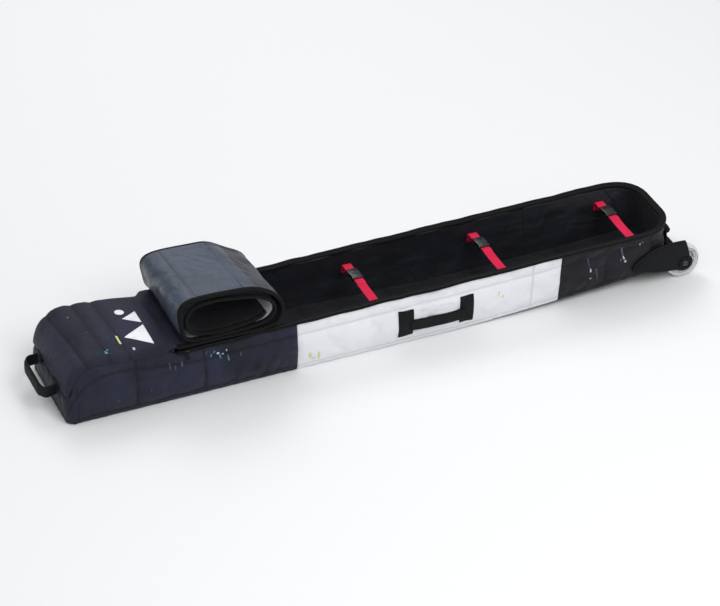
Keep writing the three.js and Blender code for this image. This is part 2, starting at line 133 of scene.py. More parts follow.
def seam_z(x):
    """Height of the closed nose's side seam: it falls to the front in a quarter ellipse."""
    if x > CREST_X:
        return mix(CREST_Z, SEAM_AT_HINGE, ease((x - CREST_X) / (DECK_END_X - CREST_X)))
    out = min(1.0, (CREST_X - x) / FRONT_REACH)
    return FRONT_Z + (CREST_Z - FRONT_Z) * math.sqrt(1 - out**2)


def tail_corner(share):
    """Radius of the tail's corners at a share of the wall's height: the soft top is rounder than the base."""
    return mix(TAIL_CORNER, RIM_CORNER, clamp01(share) ** 2.5)


def wall_top_z(x):
    return seam_z(x) if x < HINGE_X - 0.004 else rim_z(x)


# ------------------------------------------------------------------ materials
class Shader:
    """A small helper that adds nodes to one material and links them."""

    def __init__(self, name, roughness=0.8):
        self.material = bpy.data.materials.new(name)
        self.material.use_nodes = True
        self.tree = self.material.node_tree
        self.surface = self.tree.nodes["Principled BSDF"]
        self.surface.inputs["Roughness"].default_value = roughness

    def node(self, kind, **settings):
        made = self.tree.nodes.new(kind)
        for key, value in settings.items():
            if key in made.inputs:
                self.set(made.inputs[key], value)
            else:
                setattr(made, key, value)
        return made

    def set(self, socket, value):
        if isinstance(value, bpy.types.NodeSocket):
            self.tree.links.new(value, socket)
        else:
            socket.default_value = value

    def math(self, operation, a, b=0.0):
        made = self.tree.nodes.new("ShaderNodeMath")
        made.operation = operation
        self.set(made.inputs[0], a)
        self.set(made.inputs[1], b)
        return made.outputs[0]

    def blend(self, share, a, b):
        made = self.tree.nodes.new("ShaderNodeMix")
        made.data_type = "RGBA"
        self.set(made.inputs[0], share)
        self.set(made.inputs[6], a)
        self.set(made.inputs[7], b)
        return made.outputs[2]

    def coordinates(self, kind="Object"):
        return self.node("ShaderNodeTexCoord").outputs[kind]

    def stretched(self, source, scale):
        made = self.node("ShaderNodeMapping")
        self.set(made.inputs["Vector"], source)
        made.inputs["Scale"].default_value = scale
        return made.outputs[0]

    def noise(self, vector, scale, detail=3.0):
        made = self.node("ShaderNodeTexNoise", Scale=scale, Detail=detail)
        self.set(made.inputs["Vector"], vector)
        return made.outputs["Fac"]

    def step(self, value, low, high):
        made = self.node("ShaderNodeMapRange")
        self.set(made.inputs[0], value)
        made.inputs[1].default_value = low
        made.inputs[2].default_value = high
        return made.outputs[0]

    def bump(self, height, strength, distance=0.0006, under=None):
        """Relief of the given height, laid over an earlier relief if there is one."""
        made = self.node("ShaderNodeBump")
        made.inputs["Strength"].default_value = strength
        made.inputs["Distance"].default_value = distance
        self.set(made.inputs["Height"], height)
        if under is not None:
            self.set(made.inputs["Normal"], under)
        self.set(self.surface.inputs["Normal"], made.outputs[0])
        return made.outputs[0]


def srgb(text):
    values = [int(text[i : i + 2], 16) / 255 for i in (0, 2, 4)]
    linear = [v / 12.92 if v < 0.04045 else ((v + 0.055) / 1.055) ** 2.4 for v in values]
    return (*linear, 1.0)


def weave(shader, pitch, strength):
    """Crossing threads at a pitch in metres, from the sheet's own UV map, which is in metres."""
    threads = shader.node("ShaderNodeSeparateXYZ")
    shader.set(threads.inputs[0], shader.stretched(shader.coordinates("UV"), (1 / pitch,) * 3))
    across = shader.math("SINE", shader.math("MULTIPLY", threads.outputs[0], math.tau))
    along = shader.math("SINE", shader.math("MULTIPLY", threads.outputs[1], math.tau))
    return shader.math("MULTIPLY", shader.math("MULTIPLY", across, along), strength)


def stitches(shader):
    """The seam's shade at each point, and its thread: dashes 4 mm long down the middle of every seam."""
    seam = shader.node("ShaderNodeAttribute", attribute_name="seam").outputs["Fac"]
    place = shader.node("ShaderNodeVectorMath", operation="DOT_PRODUCT")
    shader.set(place.inputs[0], shader.coordinates())
    place.inputs[1].default_value = (1.0, 1.0, 1.0)
    dash = shader.math("FRACT", shader.math("MULTIPLY", place.outputs["Value"], 250.0))
    thread = shader.math("MULTIPLY", shader.math("GREATER_THAN", seam, 0.93), shader.math("GREATER_THAN", dash, 0.3))
    return seam, thread


def fabric(name, colour, worn, roughness, rumple=0.5, sheen=0.04, pitch=0.0016, seam_painted_shade=0.6, thread=None, specular=0.25, seam_power=1.0):
    """Woven cloth with soft colour variation, seams with stitches and painted shade, soft rumples and fine thread
    relief.
    """
    shader = Shader(name, roughness)
    place = shader.coordinates()
    patch = shader.step(shader.noise(place, 9.0, 5.0), 0.3, 0.72)
    base = shader.blend(patch, srgb(colour), srgb(worn))
    seam, dash = stitches(shader)
    # Painted shade: the cloth is darkened in a narrow band along each seam, as shade in the pinched seam; the thread
    # dashes are the seam's own colour.
    shade = shader.math("POWER", seam, seam_power)
    shade = shader.math("SUBTRACT", 1.0, shader.math("MULTIPLY", shade, seam_painted_shade))
    dark = shader.node("ShaderNodeVectorMath", operation="SCALE")
    shader.set(dark.inputs[0], base)
    shader.set(dark.inputs["Scale"], shade)
    stitched = shader.blend(dash, dark.outputs[0], srgb(thread or worn))
    shader.set(shader.surface.inputs["Base Color"], stitched)
    folds = shader.noise(shader.stretched(place, (1.0, 1.0, 0.7)), 17.0, 5.0)
    creases = shader.node("ShaderNodeTexNoise", Scale=11.0, Detail=4.0, Distortion=0.8)
    shader.set(creases.inputs["Vector"], place)
    ridge = shader.math("ABSOLUTE", shader.math("SUBTRACT", creases.outputs["Fac"], 0.5))
    rumples = shader.math("ADD", folds, shader.math("MULTIPLY", shader.step(ridge, 0.0, 0.12), 0.2))
    under = shader.bump(rumples, rumple, 0.006)
    grain = shader.noise(place, 900.0, 2.0)
    height = shader.math("ADD", weave(shader, pitch, 0.5), shader.math("MULTIPLY", grain, 0.6))
    height = shader.math("ADD", height, shader.math("MULTIPLY", dash, 1.5))
    shader.bump(height, 0.5, 0.0004, under)
    rough = shader.math("ADD", roughness - 0.06, shader.math("MULTIPLY", grain, 0.12))
    shader.set(shader.surface.inputs["Roughness"], rough)
    shader.surface.inputs["Specular IOR Level"].default_value = specular
    shader.surface.inputs["Sheen Weight"].default_value = sheen
    shader.surface.inputs["Sheen Roughness"].default_value = 0.5
    return shader.material


def ribbed(name, colour, worn, roughness=0.7, rib=0.0012):
    """Webbing and binding tape: ribs across the run with a fine diagonal weave."""
    shader = Shader(name, roughness)
    place = shader.coordinates()
    patch = shader.step(shader.noise(place, 30.0, 4.0), 0.35, 0.7)
    parts = shader.node("ShaderNodeSeparateXYZ")
    shader.set(parts.inputs[0], shader.stretched(shader.coordinates("UV"), (1 / rib,) * 3))
    run = shader.math("MULTIPLY", parts.outputs[0], math.tau)
    across = shader.math("MULTIPLY", parts.outputs[1], math.tau * 0.8)
    ribs = shader.math("MULTIPLY", shader.math("SINE", shader.math("ADD", run, across)), shader.math("SINE", across))
    seam, dash = stitches(shader)
    tone = shader.math("ADD", shader.math("MULTIPLY", patch, 0.6), shader.math("MULTIPLY", ribs, 0.25))
    base = shader.blend(tone, srgb(colour), srgb(worn))
    shader.set(shader.surface.inputs["Base Color"], base)
    shader.bump(shader.math("ADD", ribs, dash), 0.6, 0.0004)
    rough = shader.math("ADD", roughness, shader.math("MULTIPLY", patch, 0.1))
    shader.set(shader.surface.inputs["Roughness"], rough)
    shader.surface.inputs["Specular IOR Level"].default_value = 0.25
    return shader.material


def moulded(name, colour, worn, roughness, grain=600.0, strength=0.25, specular=0.5):
    """Moulded plastic with a fine spark texture, soft scuffs and uneven gloss."""
    shader = Shader(name, roughness)
    place = shader.coordinates()
    scuff = shader.step(shader.noise(shader.stretched(place, (1.0, 1.0, 5.0)), 38.0, 6.0), 0.5, 0.75)
    shader.set(shader.surface.inputs["Base Color"], shader.blend(scuff, srgb(colour), srgb(worn)))
    speckle = shader.noise(place, grain, 2.0)
    rough = shader.math("ADD", roughness - 0.08, shader.math("MULTIPLY", scuff, 0.2))
    shader.set(shader.surface.inputs["Roughness"], rough)
    shader.bump(speckle, strength, 0.0003)
    shader.surface.inputs["Specular IOR Level"].default_value = specular
    return shader.material


def metal(name, colour, roughness):
    shader = Shader(name, roughness)
    place = shader.coordinates()
    streak = shader.noise(shader.stretched(place, (40.0, 4.0, 40.0)), 30.0, 4.0)
    shader.set(shader.surface.inputs["Base Color"], shader.blend(streak, srgb(colour), srgb("6f7276")))
    shader.set(shader.surface.inputs["Roughness"], shader.math("ADD", roughness, shader.math("MULTIPLY", streak, 0.2)))
    shader.bump(streak, 0.15, 0.0002)
    shader.surface.inputs["Metallic"].default_value = 1.0
    return shader.material


MATERIALS = {
    "navy": fabric("navy fabric", "141522", "292a40", 0.6, rumple=0.65, thread="0c0c14"),
    "charcoal": fabric("charcoal fabric", "0c0c13", "1b1b24", 0.6, rumple=0.65, thread="07070a"),
    "white": fabric("white fabric", "f1f2f5", "e7e8ec", 0.5, rumple=0.4, seam_painted_shade=0.3, seam_power=3.0),
    "lining": fabric("dark lining", "121318", "1f2027", 0.55, rumple=1.0, pitch=0.002, specular=0.3),
    "sheen": fabric(
        "sheen lining", "2c3546", "3c485c", 0.36, 0.7, seam_painted_shade=0.85, thread="101218", specular=0.6, seam_power=2.5
    ),
    # A darker copy of the sheen lining: painted shade on the roll's right side and shoulder, which face away from the
    # light.
    "sheen painted shade": fabric("lining with painted shade", "1a1c28", "242733", 0.42, rumple=0.7, thread="0c0d12", specular=0.4),
    "binding": ribbed("binding tape", "040405", "0b0b0d", 0.75),
    "zip": ribbed("zip coil", "0d0c0f", "1a181c", 0.45, 0.0022),
    "webbing": ribbed("black webbing", "08090b", "121317", 0.65),
    "red": ribbed("red webbing", "dc0f3f", "ee2a5c", 0.5),
    "acetal": moulded("buckle acetal", "08090b", "16181b", 0.38),
    "chassis": moulded("chassis moulding", "07080a", "101115", 0.6, 420.0, 0.5, 0.2),
    "tyre": moulded("wheel tyre", "dcdee0", "c2c4c8", 0.3, 200.0, 0.1),
    "core": moulded("wheel core", "c9cbd0", "a9abb0", 0.35, 300.0, 0.1),
    "steel": metal("plain steel", "a9abae", 0.3),
    "dark steel": metal("blackened steel", "1b1c1f", 0.4),
    "window": moulded("clear window", "dfe1e5", "cdd0d6", 0.22, 60.0, 0.6),
    "print": moulded("white print", "f1f2f5", "dfe1e6", 0.5, 900.0, 0.2),
    "fleck white": moulded("pale fleck", "c9ced4", "8f959d", 0.6, 900.0, 0.2),
    "fleck teal": moulded("teal fleck", "3c8a90", "27646a", 0.6, 900.0, 0.2),
    "fleck violet": moulded("violet fleck", "45475f", "34364c", 0.6, 900.0, 0.2),
    "fleck yellow": moulded("yellow fleck", "dcdf9a", "c9cd8f", 0.6, 900.0, 0.2),
}


# ------------------------------------------------------------------ mesh helpers
def make_mesh(name, points, faces, materials, face_materials=None, uvs=None, smooth=True):
    """One mesh object; uvs holds a pair for each vertex, in metres."""
    mesh = bpy.data.meshes.new(name)
    mesh.from_pydata([tuple(p) for p in points], [], faces)
    for material in materials:
        mesh.materials.append(MATERIALS[material])
    if face_materials is not None:
        mesh.polygons.foreach_set("material_index", face_materials)
    mesh.polygons.foreach_set("use_smooth", [smooth] * len(mesh.polygons))
    if uvs is not None:
        layer = mesh.uv_layers.new(name="cloth")
        for loop in mesh.loops:
            layer.data[loop.index].uv = uvs[loop.vertex_index]
    mesh.update()
    made = bpy.data.objects.new(name.replace(" ", "_"), mesh)
    bpy.context.scene.collection.objects.link(made)
    return made


def point_attribute(piece, name, values):
    attribute = piece.data.attributes.new(name, "FLOAT", "POINT")
    attribute.data.foreach_set("value", [float(v) for v in values])


def fix_normals(piece):
    shape = bmesh.new()
    shape.from_mesh(piece.data)
    bmesh.ops.recalc_face_normals(shape, faces=shape.faces)
    shape.to_mesh(piece.data)
    shape.free()


def subdivide(piece, levels=1):
    modifier = piece.modifiers.new("smooth surface", "SUBSURF")
    modifier.levels = levels
    modifier.render_levels = levels


def soften(piece, width, segments=3):
    modifier = piece.modifiers.new("soft edges", "BEVEL")
    modifier.width = width
    modifier.segments = segments
    modifier.limit_method = "ANGLE"
    modifier.angle_limit = math.radians(40)


def samples(start, end, step, seams=()):
    """Positions from start to end about step apart, with a close pair beside each seam, and a seam mark for each."""
    stops = [start, *sorted(seams), end]
    values = []
    for low, high in zip(stops, stops[1:]):
        lead = SEAM_LIP if low in seams else 0.0
        trail = SEAM_LIP if high in seams else 0.0
        count = max(1, round((high - low - lead - trail) / step))
        inner = [mix(low + lead, high - trail, i / count) for i in range(count + 1)]
        values.append(low)
        values.extend(v for v in inner if v - low > 1e-9 and high - v > 1e-9)
    values.append(end)
    marks = [any(abs(v - seam) < 1e-9 for seam in seams) for v in values]
    return values, marks


def wrinkle(point, size, seed=0.0):
    """Signed smooth noise, about -1 to 1; size is a length for each axis."""
    scaled = Vector((point[0] / size[0] + seed, point[1] / size[1], point[2] / size[2]))
    return noise.noise(scaled) + 0.5 * noise.noise(scaled * 2.1)


def gaps(points, chosen):
    """Distance from each point to the nearest chosen one."""
    tree = kdtree.KDTree(sum(chosen))
    for index, (point, taken) in enumerate(zip(points, chosen)):
        if taken:
            tree.insert(point, index)
    tree.balance()
    return [tree.find(point)[2] for point in points]


# SEAM_SHADE is the width of the painted shade beside each seam.
SEAM_SHADE = 0.0028
PAD_REACH = 0.013


def padded_sheet(name, us, vs, outer, inner, materials, marks=None, pad=0.0):
    """A closed padded sheet. outer and inner give a point for each u and v; material 0 is outside, 1 inside.

    Between its seams and its border the outside stands up by as much as pad.
    """
    nu, nv = len(us), len(vs)
    outside = [outer(u, v) for u in us for v in vs]
    points = outside + [inner(u, v) for u in us for v in vs]
    at = lambda face, i, j: face * nu * nv + i * nv + j
    faces, kinds = [], []
    for i in range(nu - 1):
        for j in range(nv - 1):
            faces.append((at(0, i, j), at(0, i + 1, j), at(0, i + 1, j + 1), at(0, i, j + 1)))
            faces.append((at(1, i, j), at(1, i, j + 1), at(1, i + 1, j + 1), at(1, i + 1, j)))
            kinds += [0, 1]
    rim = [(i, 0) for i in range(nu)] + [(nu - 1, j) for j in range(1, nv)]
    rim += [(i, nv - 1) for i in range(nu - 2, -1, -1)] + [(0, j) for j in range(nv - 2, 0, -1)]
    for (a, b), (c, d) in zip(rim, rim[1:] + rim[:1]):
        faces.append((at(0, a, b), at(1, a, b), at(1, c, d), at(0, c, d)))
        kinds.append(1)
    uvs = [(u, v) for u in us for v in vs] * 2
    piece = make_mesh(name, points, faces, materials, kinds, uvs)
    fix_normals(piece)
    on_seam = marks or (lambda i, j: False)
    seam = [bool(on_seam(i, j)) for i in range(nu) for j in range(nv)]
    border = [i in (0, nu - 1) or j in (0, nv - 1) for i in range(nu) for j in range(nv)]
    held = [s or b for s, b in zip(seam, border)]
    # The seam attribute carries painted shade, fading out within SEAM_SHADE of each seam.
    shade = [math.exp(-((gap / SEAM_SHADE) ** 2)) for gap in gaps(outside, seam)] if any(seam) else [0.0] * (nu * nv)
    point_attribute(piece, "seam", shade + [0.0] * (nu * nv))
    for vertex, gap in zip(piece.data.vertices[: nu * nv], gaps(outside, held)):
        vertex.co += vertex.normal * pad * (1 - math.exp(-((gap / PAD_REACH) ** 2)))
    piece.data.update()
    return piece, [float(h) for h in held] + [1.0] * (nu * nv)


def puff(piece, pins, pressure, growth, cap, frames=14):
    """Blows the cloth up between its pinned seams, as padding does, and keeps the result in the mesh."""
    group = piece.vertex_groups.new(name="seams")
    for index, weight in enumerate(pins):
        if weight > 0:
            group.add([index], weight, "REPLACE")
    cloth = piece.modifiers.new("cloth", "CLOTH")
    settings = cloth.settings
    settings.quality = 6
    settings.mass = 0.15
    settings.tension_stiffness = 12
    settings.compression_stiffness = 12
    settings.bending_stiffness = 0.08
    settings.vertex_group_mass = group.name
    settings.use_pressure = True
    settings.uniform_pressure_force = pressure
    settings.shrink_min = -growth
    settings.effector_weights.gravity = 0
    cloth.collision_settings.use_collision = False
    cloth.point_cache.frame_start = 1
    cloth.point_cache.frame_end = frames
    scene = bpy.context.scene
    for number in range(1, frames + 1):
        scene.frame_set(number)
    graph = bpy.context.evaluated_depsgraph_get()
    moved = piece.evaluated_get(graph).data
    rest = np.array([v.co for v in piece.data.vertices])
    blown = np.array([v.co for v in moved.vertices])
    shift = blown - rest
    length = np.linalg.norm(shift, axis=1, keepdims=True)
    shift *= np.minimum(1.0, cap / np.maximum(length, 1e-9))
    piece.modifiers.remove(cloth)
    piece.data.vertices.foreach_set("co", (rest + shift).ravel())
    piece.data.update()
    scene.frame_set(1)


def sweep(name, path, section, materials, frames=None, closed_ends=True):
    """A bar with the given cross-section along a path. frames gives side and up vectors for each path point."""
    points, uvs = [], []
    travelled = 0.0
    turns = [0.0]
    for a, b in zip(section, section[1:]):
        turns.append(turns[-1] + math.dist(a, b))
    for i, place in enumerate(path):
        if i:
            travelled += (place - path[i - 1]).length
        side, up = frames[i]
        for (a, b), turn in zip(section, turns):
            points.append(place + side * a + up * b)
            uvs.append((travelled, turn))
    count = len(section)
    faces = []
    for i in range(len(path) - 1):
        for j in range(count):
            k = (j + 1) % count
            faces.append((i * count + j, i * count + k, (i + 1) * count + k, (i + 1) * count + j))
    if closed_ends:
        faces.append(tuple(range(count)))
        faces.append(tuple(reversed(range((len(path) - 1) * count, len(path) * count))))
    piece = make_mesh(name, points, faces, materials, None, uvs)
    fix_normals(piece)
    return piece


def level_frames(path):
    """For a path: a sideways vector across it and the vector square to both, with +Z as the usual up."""
    result = []
    for i in range(len(path)):
        along = (path[min(i + 1, len(path) - 1)] - path[max(i - 1, 0)]).normalized()
        side = along.cross(Vector((0, 0, 1)))
        side = side.normalized() if side.length > 1e-6 else Vector((1, 0, 0))
        result.append((side, side.cross(along)))
    return result


def rounded_section(width, height, radius, steps=3):
    """A closed rounded rectangle about the origin."""
    points = []
    for quarter, (sx, sy) in enumerate(((1, 1), (-1, 1), (-1, -1), (1, -1))):
        for k in range(steps + 1):
            angle = (quarter + k / steps) * math.pi / 2
            x = sx * (width / 2 - radius) + radius * math.cos(angle)
            y = sy * (height / 2 - radius) + radius * math.sin(angle)
            points.append((x, y))
    return points


def plate(name, outline, thickness, place, material, bevel, holes=()):
    """A flat plate from an outline; place turns (x, y, height) into a point."""
    shape = bmesh.new()
    low = [shape.verts.new(place(x, y, 0.0)) for x, y in outline]
    high = [shape.verts.new(place(x, y, thickness)) for x, y in outline]
    count = len(outline)
    shape.faces.new(low)
    shape.faces.new(list(reversed(high)))
    for i in range(count):
        k = (i + 1) % count
        shape.faces.new((low[k], low[i], high[i], high[k]))
    bmesh.ops.recalc_face_normals(shape, faces=shape.faces)
    mesh = bpy.data.meshes.new(name)
    shape.to_mesh(mesh)
    shape.free()
    mesh.materials.append(MATERIALS[material])
    mesh.polygons.foreach_set("use_smooth", [True] * len(mesh.polygons))
    piece = bpy.data.objects.new(name.replace(" ", "_"), mesh)
    bpy.context.scene.collection.objects.link(piece)
    soften(piece, bevel)
    return piece


def lathe(name, profile, axis_place, material, segments=64, closed=True):
    """A ring or a disc about the Y direction, from points of radius and distance along the axis."""
    points, uvs, faces = [], [], []
    count = len(profile)
    for i in range(segments):
        angle = math.tau * i / segments
        for radius, along in profile:
            points.append(axis_place + Vector((radius * math.cos(angle), along, radius * math.sin(angle))))
            uvs.append((angle * 0.05, along))
    for i in range(segments):
        k = (i + 1) % segments
        for j in range(count if closed else count - 1):
            m = (j + 1) % count
            faces.append((i * count + j, k * count + j, k * count + m, i * count + m))
    piece = make_mesh(name, points, faces, [material], None, uvs)
    shape = bmesh.new()
    shape.from_mesh(piece.data)
    bmesh.ops.remove_doubles(shape, verts=shape.verts, dist=1e-6)
    bmesh.ops.recalc_face_normals(shape, faces=shape.faces)
    shape.to_mesh(piece.data)
    shape.free()
    return piece


def join(pieces):
    """The pieces as one mesh, with their modifiers applied first."""
    graph = bpy.context.evaluated_depsgraph_get()
    for piece in pieces:
        solid = bpy.data.meshes.new_from_object(piece.evaluated_get(graph), depsgraph=graph)
        piece.modifiers.clear()
        piece.data = solid
    with bpy.context.temp_override(active_object=pieces[0], selected_editable_objects=pieces):
        bpy.ops.object.join()
    return pieces[0]


def cloth_surface(name):
    """The finished surface of a piece, ready for rays."""
    bpy.context.view_layer.update()
    graph = bpy.context.evaluated_depsgraph_get()
    solid = bpy.data.meshes.new_from_object(bpy.data.objects[name].evaluated_get(graph), depsgraph=graph)
    tree = BVHTree.FromPolygons([v.co for v in solid.vertices], [face.vertices for face in solid.polygons])
    bpy.data.meshes.remove(solid)
    return tree


# ------------------------------------------------------------------ walls
GUSSET_X = -0.70
GUSSET_Z = 0.131
STRIP_START_X = -0.46
WALL_OVERLAP = 0.0012


def strip_seam_z(x):
    """Height of the seam under the top strip: at the nose it curves down to the bottom corner."""
    if x < GUSSET_X:
        out = min(1.0, (GUSSET_X - x) / (GUSSET_X - NOSE_X))
        return GUSSET_Z * math.sqrt(1 - out**2.6)
    usual = mix(GUSSET_Z, rim_z(x) - STRIP, ease((x - GUSSET_X) / (STRIP_START_X - GUSSET_X)))
    return usual


def wall_height(x, row):
    """Height above the base at a row: rows 0, 1, 2 and 3 are the base, both seams and the top."""
    top = wall_top_z(x) - base_z(x)
    high = min(strip_seam_z(x) - base_z(x), top - 0.012)
    low = min(LOW_SEAM, high * 0.4)
    knots = (0.0, low, high, top)
    band = min(2, int(row))
    return mix(knots[band], knots[band + 1], row - band)


def wall_rows():
    rows = []
    for band, count in enumerate((4, 13, 6)):
        lip = (0.07, 0.02, 0.05)[band]
        rows.append(float(band))
        rows.extend(band + mix(lip, 1 - lip, i / (count - 1)) for i in range(count))
    return rows + [3.0]


def wall_point(side, x, row, depth):
    height = wall_height(x, row)
    share = height / (wall_top_z(x) - base_z(x))
    x -= (tail_corner(share) - TAIL_CORNER) * ease((x - CORNER_BLEND_X) / (TAIL_WALL_X - CORNER_BLEND_X))
    tuck = 0.004 * max(0.0, 1 - height / 0.01) ** 2
    if depth > 0:
        folds = 0.0025 * wrinkle((x, 0.0, height), (0.16, 1.0, 0.03), 7.0 * side)
    else:
        folds = 0.0022 * wrinkle((x, 0.0, height), (0.07, 1.0, 0.04), 3.0 * side)
    free = ease((TAIL_WALL_X - x) / 0.06) * ease((x - NOSE_WALL_X) / 0.06)
    lean = folds * free * math.sin(math.pi * share)
    sideways, upwards = rim_wave(x, side) if x > HINGE_X else (0.0, 0.0)
    y = half_width(x, share) - depth - tuck - lean - sideways * share**2
    return Vector((x, side * y, base_z(x) + height + upwards * share**3))


def build_wall(name, side, from_x, to_x, seams, material):
    xs, seam_columns = samples(from_x, to_x, FABRIC_STEP, seams)
    rows = wall_rows()
    on_seam = lambda i, j: seam_columns[i] or rows[j] in (1.0, 2.0)
    piece, pins = padded_sheet(
        name,
        xs,
        rows,
        lambda x, row: wall_point(side, x, row, 0.0),
        lambda x, row: wall_point(side, x, row, WALL),
        [material, "lining"],
        on_seam,
        pad=0.0035,
    )
    layer = piece.data.uv_layers["cloth"]
    for loop in piece.data.loops:
        u, v = layer.data[loop.index].uv
        layer.data[loop.index].uv = (u, v * 0.05)
    puff(piece, pins, 1.6, 0.018, 0.0035)
    subdivide(piece)
    return piece


def build_walls():
    sections = (
        ("nose", NOSE_WALL_X, WHITE_START_X, (-0.645, -0.457), "navy"),
        ("middle", WHITE_START_X, WHITE_END_X, (0.475,), "white"),
        ("tail", WHITE_END_X, TAIL_WALL_X, (0.70,), "charcoal"),
    )
    for name, side in SIDES.items():
        for section, from_x, to_x, seams, material in sections:
            ends = (from_x - WALL_OVERLAP, to_x + WALL_OVERLAP)
            piece = build_wall(f"{section} wall {name}", side, *ends, seams, material)
            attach(piece, "shell")
            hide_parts(f"side_panel_{name}_{section}")


END_REACH = 1.03


def rounded_end(share, half, radius):
    """A rounded end seen from above: the distance back from its plane, and Y."""
    reach = abs(share)
    if reach <= 0.5:
        return 0.0, 2 * share * (half - radius)
    angle = (reach - 0.5) * math.pi
    return radius * (1 - math.cos(angle)), math.copysign(half - radius + radius * math.sin(angle), share)


def end_shares():
    flat = [mix(-0.5, 0.5, i / 26) for i in range(27)]
    corner = [mix(0.5, END_REACH, i / 8) for i in range(1, 9)]
    return [-s for s in reversed(corner)] + flat + corner


def build_nose_end():
    """The front face. Row 1 follows the gusset's seam round each corner and then along the bottom."""

    def point(share, row, depth):
        outer_back, _ = rounded_end(share, 1.0, NOSE_CORNER)
        top = seam_z(NOSE_X + outer_back)
        seam = min(top - 0.012, max(0.014, strip_seam_z(NOSE_X + outer_back)))
        height = mix(0.0, seam, row) if row < 1 else mix(seam, top, row - 1)
        level = height / top
        back, y = rounded_end(share, half_width(NOSE_X, level) - depth, NOSE_CORNER - depth)
        return Vector((NOSE_X + depth + back, y, height))

    rows = [i / 8 for i in range(8)] + [1 + i / 14 for i in range(15)]
    shares = end_shares()
    piece, pins = padded_sheet(
        "nose end",
        shares,
        rows,
        lambda s, r: point(s, r, 0.0),
        lambda s, r: point(s, r, WALL),
        ["navy", "lining"],
        lambda i, j: rows[j] == 1.0,
        pad=0.003,
    )
    puff(piece, pins, 1.2, 0.015, 0.004)
    subdivide(piece)
    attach(piece, "shell")
    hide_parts("nose_end_panel")


def build_tail_end():
    def point(share, row, depth):
        back, y = rounded_end(share, half_width(TAIL_X, row) - depth, tail_corner(row) - depth)
        x = TAIL_X - depth - back
        return Vector((x, y, mix(base_z(x), rim_z(x), row)))

    rows = [i / 22 for i in range(23)]
    shares = end_shares()
    piece, pins = padded_sheet(
        "tail end",
        shares,
        rows,
        lambda s, r: point(s, r, 0.0),
        lambda s, r: point(s, r, WALL),
        ["charcoal", "lining"],
        lambda i, j: j == 16,
        pad=0.003,
    )
    puff(piece, pins, 1.2, 0.015, 0.005)
    subdivide(piece)
    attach(piece, "shell")
    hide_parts("tail_end_panel")


# ------------------------------------------------------------------ nose deck
DECK_SEAMS = (-0.781, -0.720, -0.665)
DECK_SEAM_SLANT = 0.009
DECK_THICK = 0.0105
DECK_CROWN = 0.008
EDGE_ROUND = 0.018
FRONT_ANGLE = 0.995 * math.pi / 2
FRONT_TUCK = 0.006


def deck_line(x):
    """A point of the deck's underside seen from the side, and the direction out of it."""
    if x > CREST_X:
        return x, seam_z(x), Vector((0, 0, 1))
    reach = min(CREST_X - x, FRONT_REACH * math.sin(FRONT_ANGLE))
    angle = math.asin(reach / FRONT_REACH)
    out = Vector((-math.sin(angle) / FRONT_REACH, 0, math.cos(angle) / (CREST_Z - FRONT_Z)))
    return CREST_X - reach, FRONT_Z + (CREST_Z - FRONT_Z) * math.cos(angle), out.normalized()


def deck_point(x, share, lift):
    """A point lift above the deck's underside; its sides roll down to the wall."""
    x, z, out = deck_line(x - DECK_SEAM_SLANT * share * ease((x - NOSE_X - 0.02) / 0.03))
    into_corner = max(0.0, NOSE_CORNER - (x - NOSE_X))
    half = rim_half(x) - NOSE_CORNER + math.sqrt(NOSE_CORNER**2 - into_corner**2) + 0.001
    inward = clamp01(half * (1 - abs(share)) / EDGE_ROUND)
    rolled = lift * math.sqrt(max(0.0, 1 - (1 - inward) ** 2))
    crown = DECK_CROWN * (1 - share**2) * clamp01((x - NOSE_X) / (CREST_X - NOSE_X))
    tuck = FRONT_TUCK * (1 - clamp01((z - FRONT_Z) / 0.03)) ** 2
    return Vector((x - tuck, share * half, z + crown + 0.0008)) + out * rolled


def deck_stations():
    """X positions along the deck, evenly spaced round its front, with the cross seams among them."""
    front = [CREST_X - FRONT_REACH * math.sin(FRONT_ANGLE * (1 - i / 14)) for i in range(14)]
    front = [x for x in front if all(abs(x - seam) > 0.0035 for seam in DECK_SEAMS)]
    first = [DECK_SEAMS[0] + d for d in (-SEAM_LIP, 0.0, SEAM_LIP)]
    front = sorted(front + first)
    rest, marks = samples(CREST_X, DECK_END_X, FABRIC_STEP, DECK_SEAMS[1:])
    return front + rest, [abs(x - DECK_SEAMS[0]) < 1e-9 for x in front] + marks


def build_deck():
    xs, seam_columns = deck_stations()
    shares = [math.sin(math.pi / 2 * i / 22) for i in range(-22, 23)]
    piece, pins = padded_sheet(
        "nose deck cloth",
        xs,
        shares,
        lambda x, s: deck_point(x, s, DECK_THICK),
        lambda x, s: deck_point(x, s, 0.0),
        ["navy", "lining"],
        lambda i, j: seam_columns[i],
        pad=0.006,
    )
    puff(piece, pins, 2.2, 0.03, 0.006)
    subdivide(piece)
    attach(piece, "shell")
    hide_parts("nose_deck")
    return piece


# ------------------------------------------------------------------ lid
LID_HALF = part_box("lid_base_panel")[1].y
LID_THICK = 0.007
LID_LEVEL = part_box("lid_base_panel")[0].z + LID_THICK / 2
BINDING = 0.012
BINDING_LIP = 0.0024
LID_BASE_END_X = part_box("lid_base_panel")[1].x

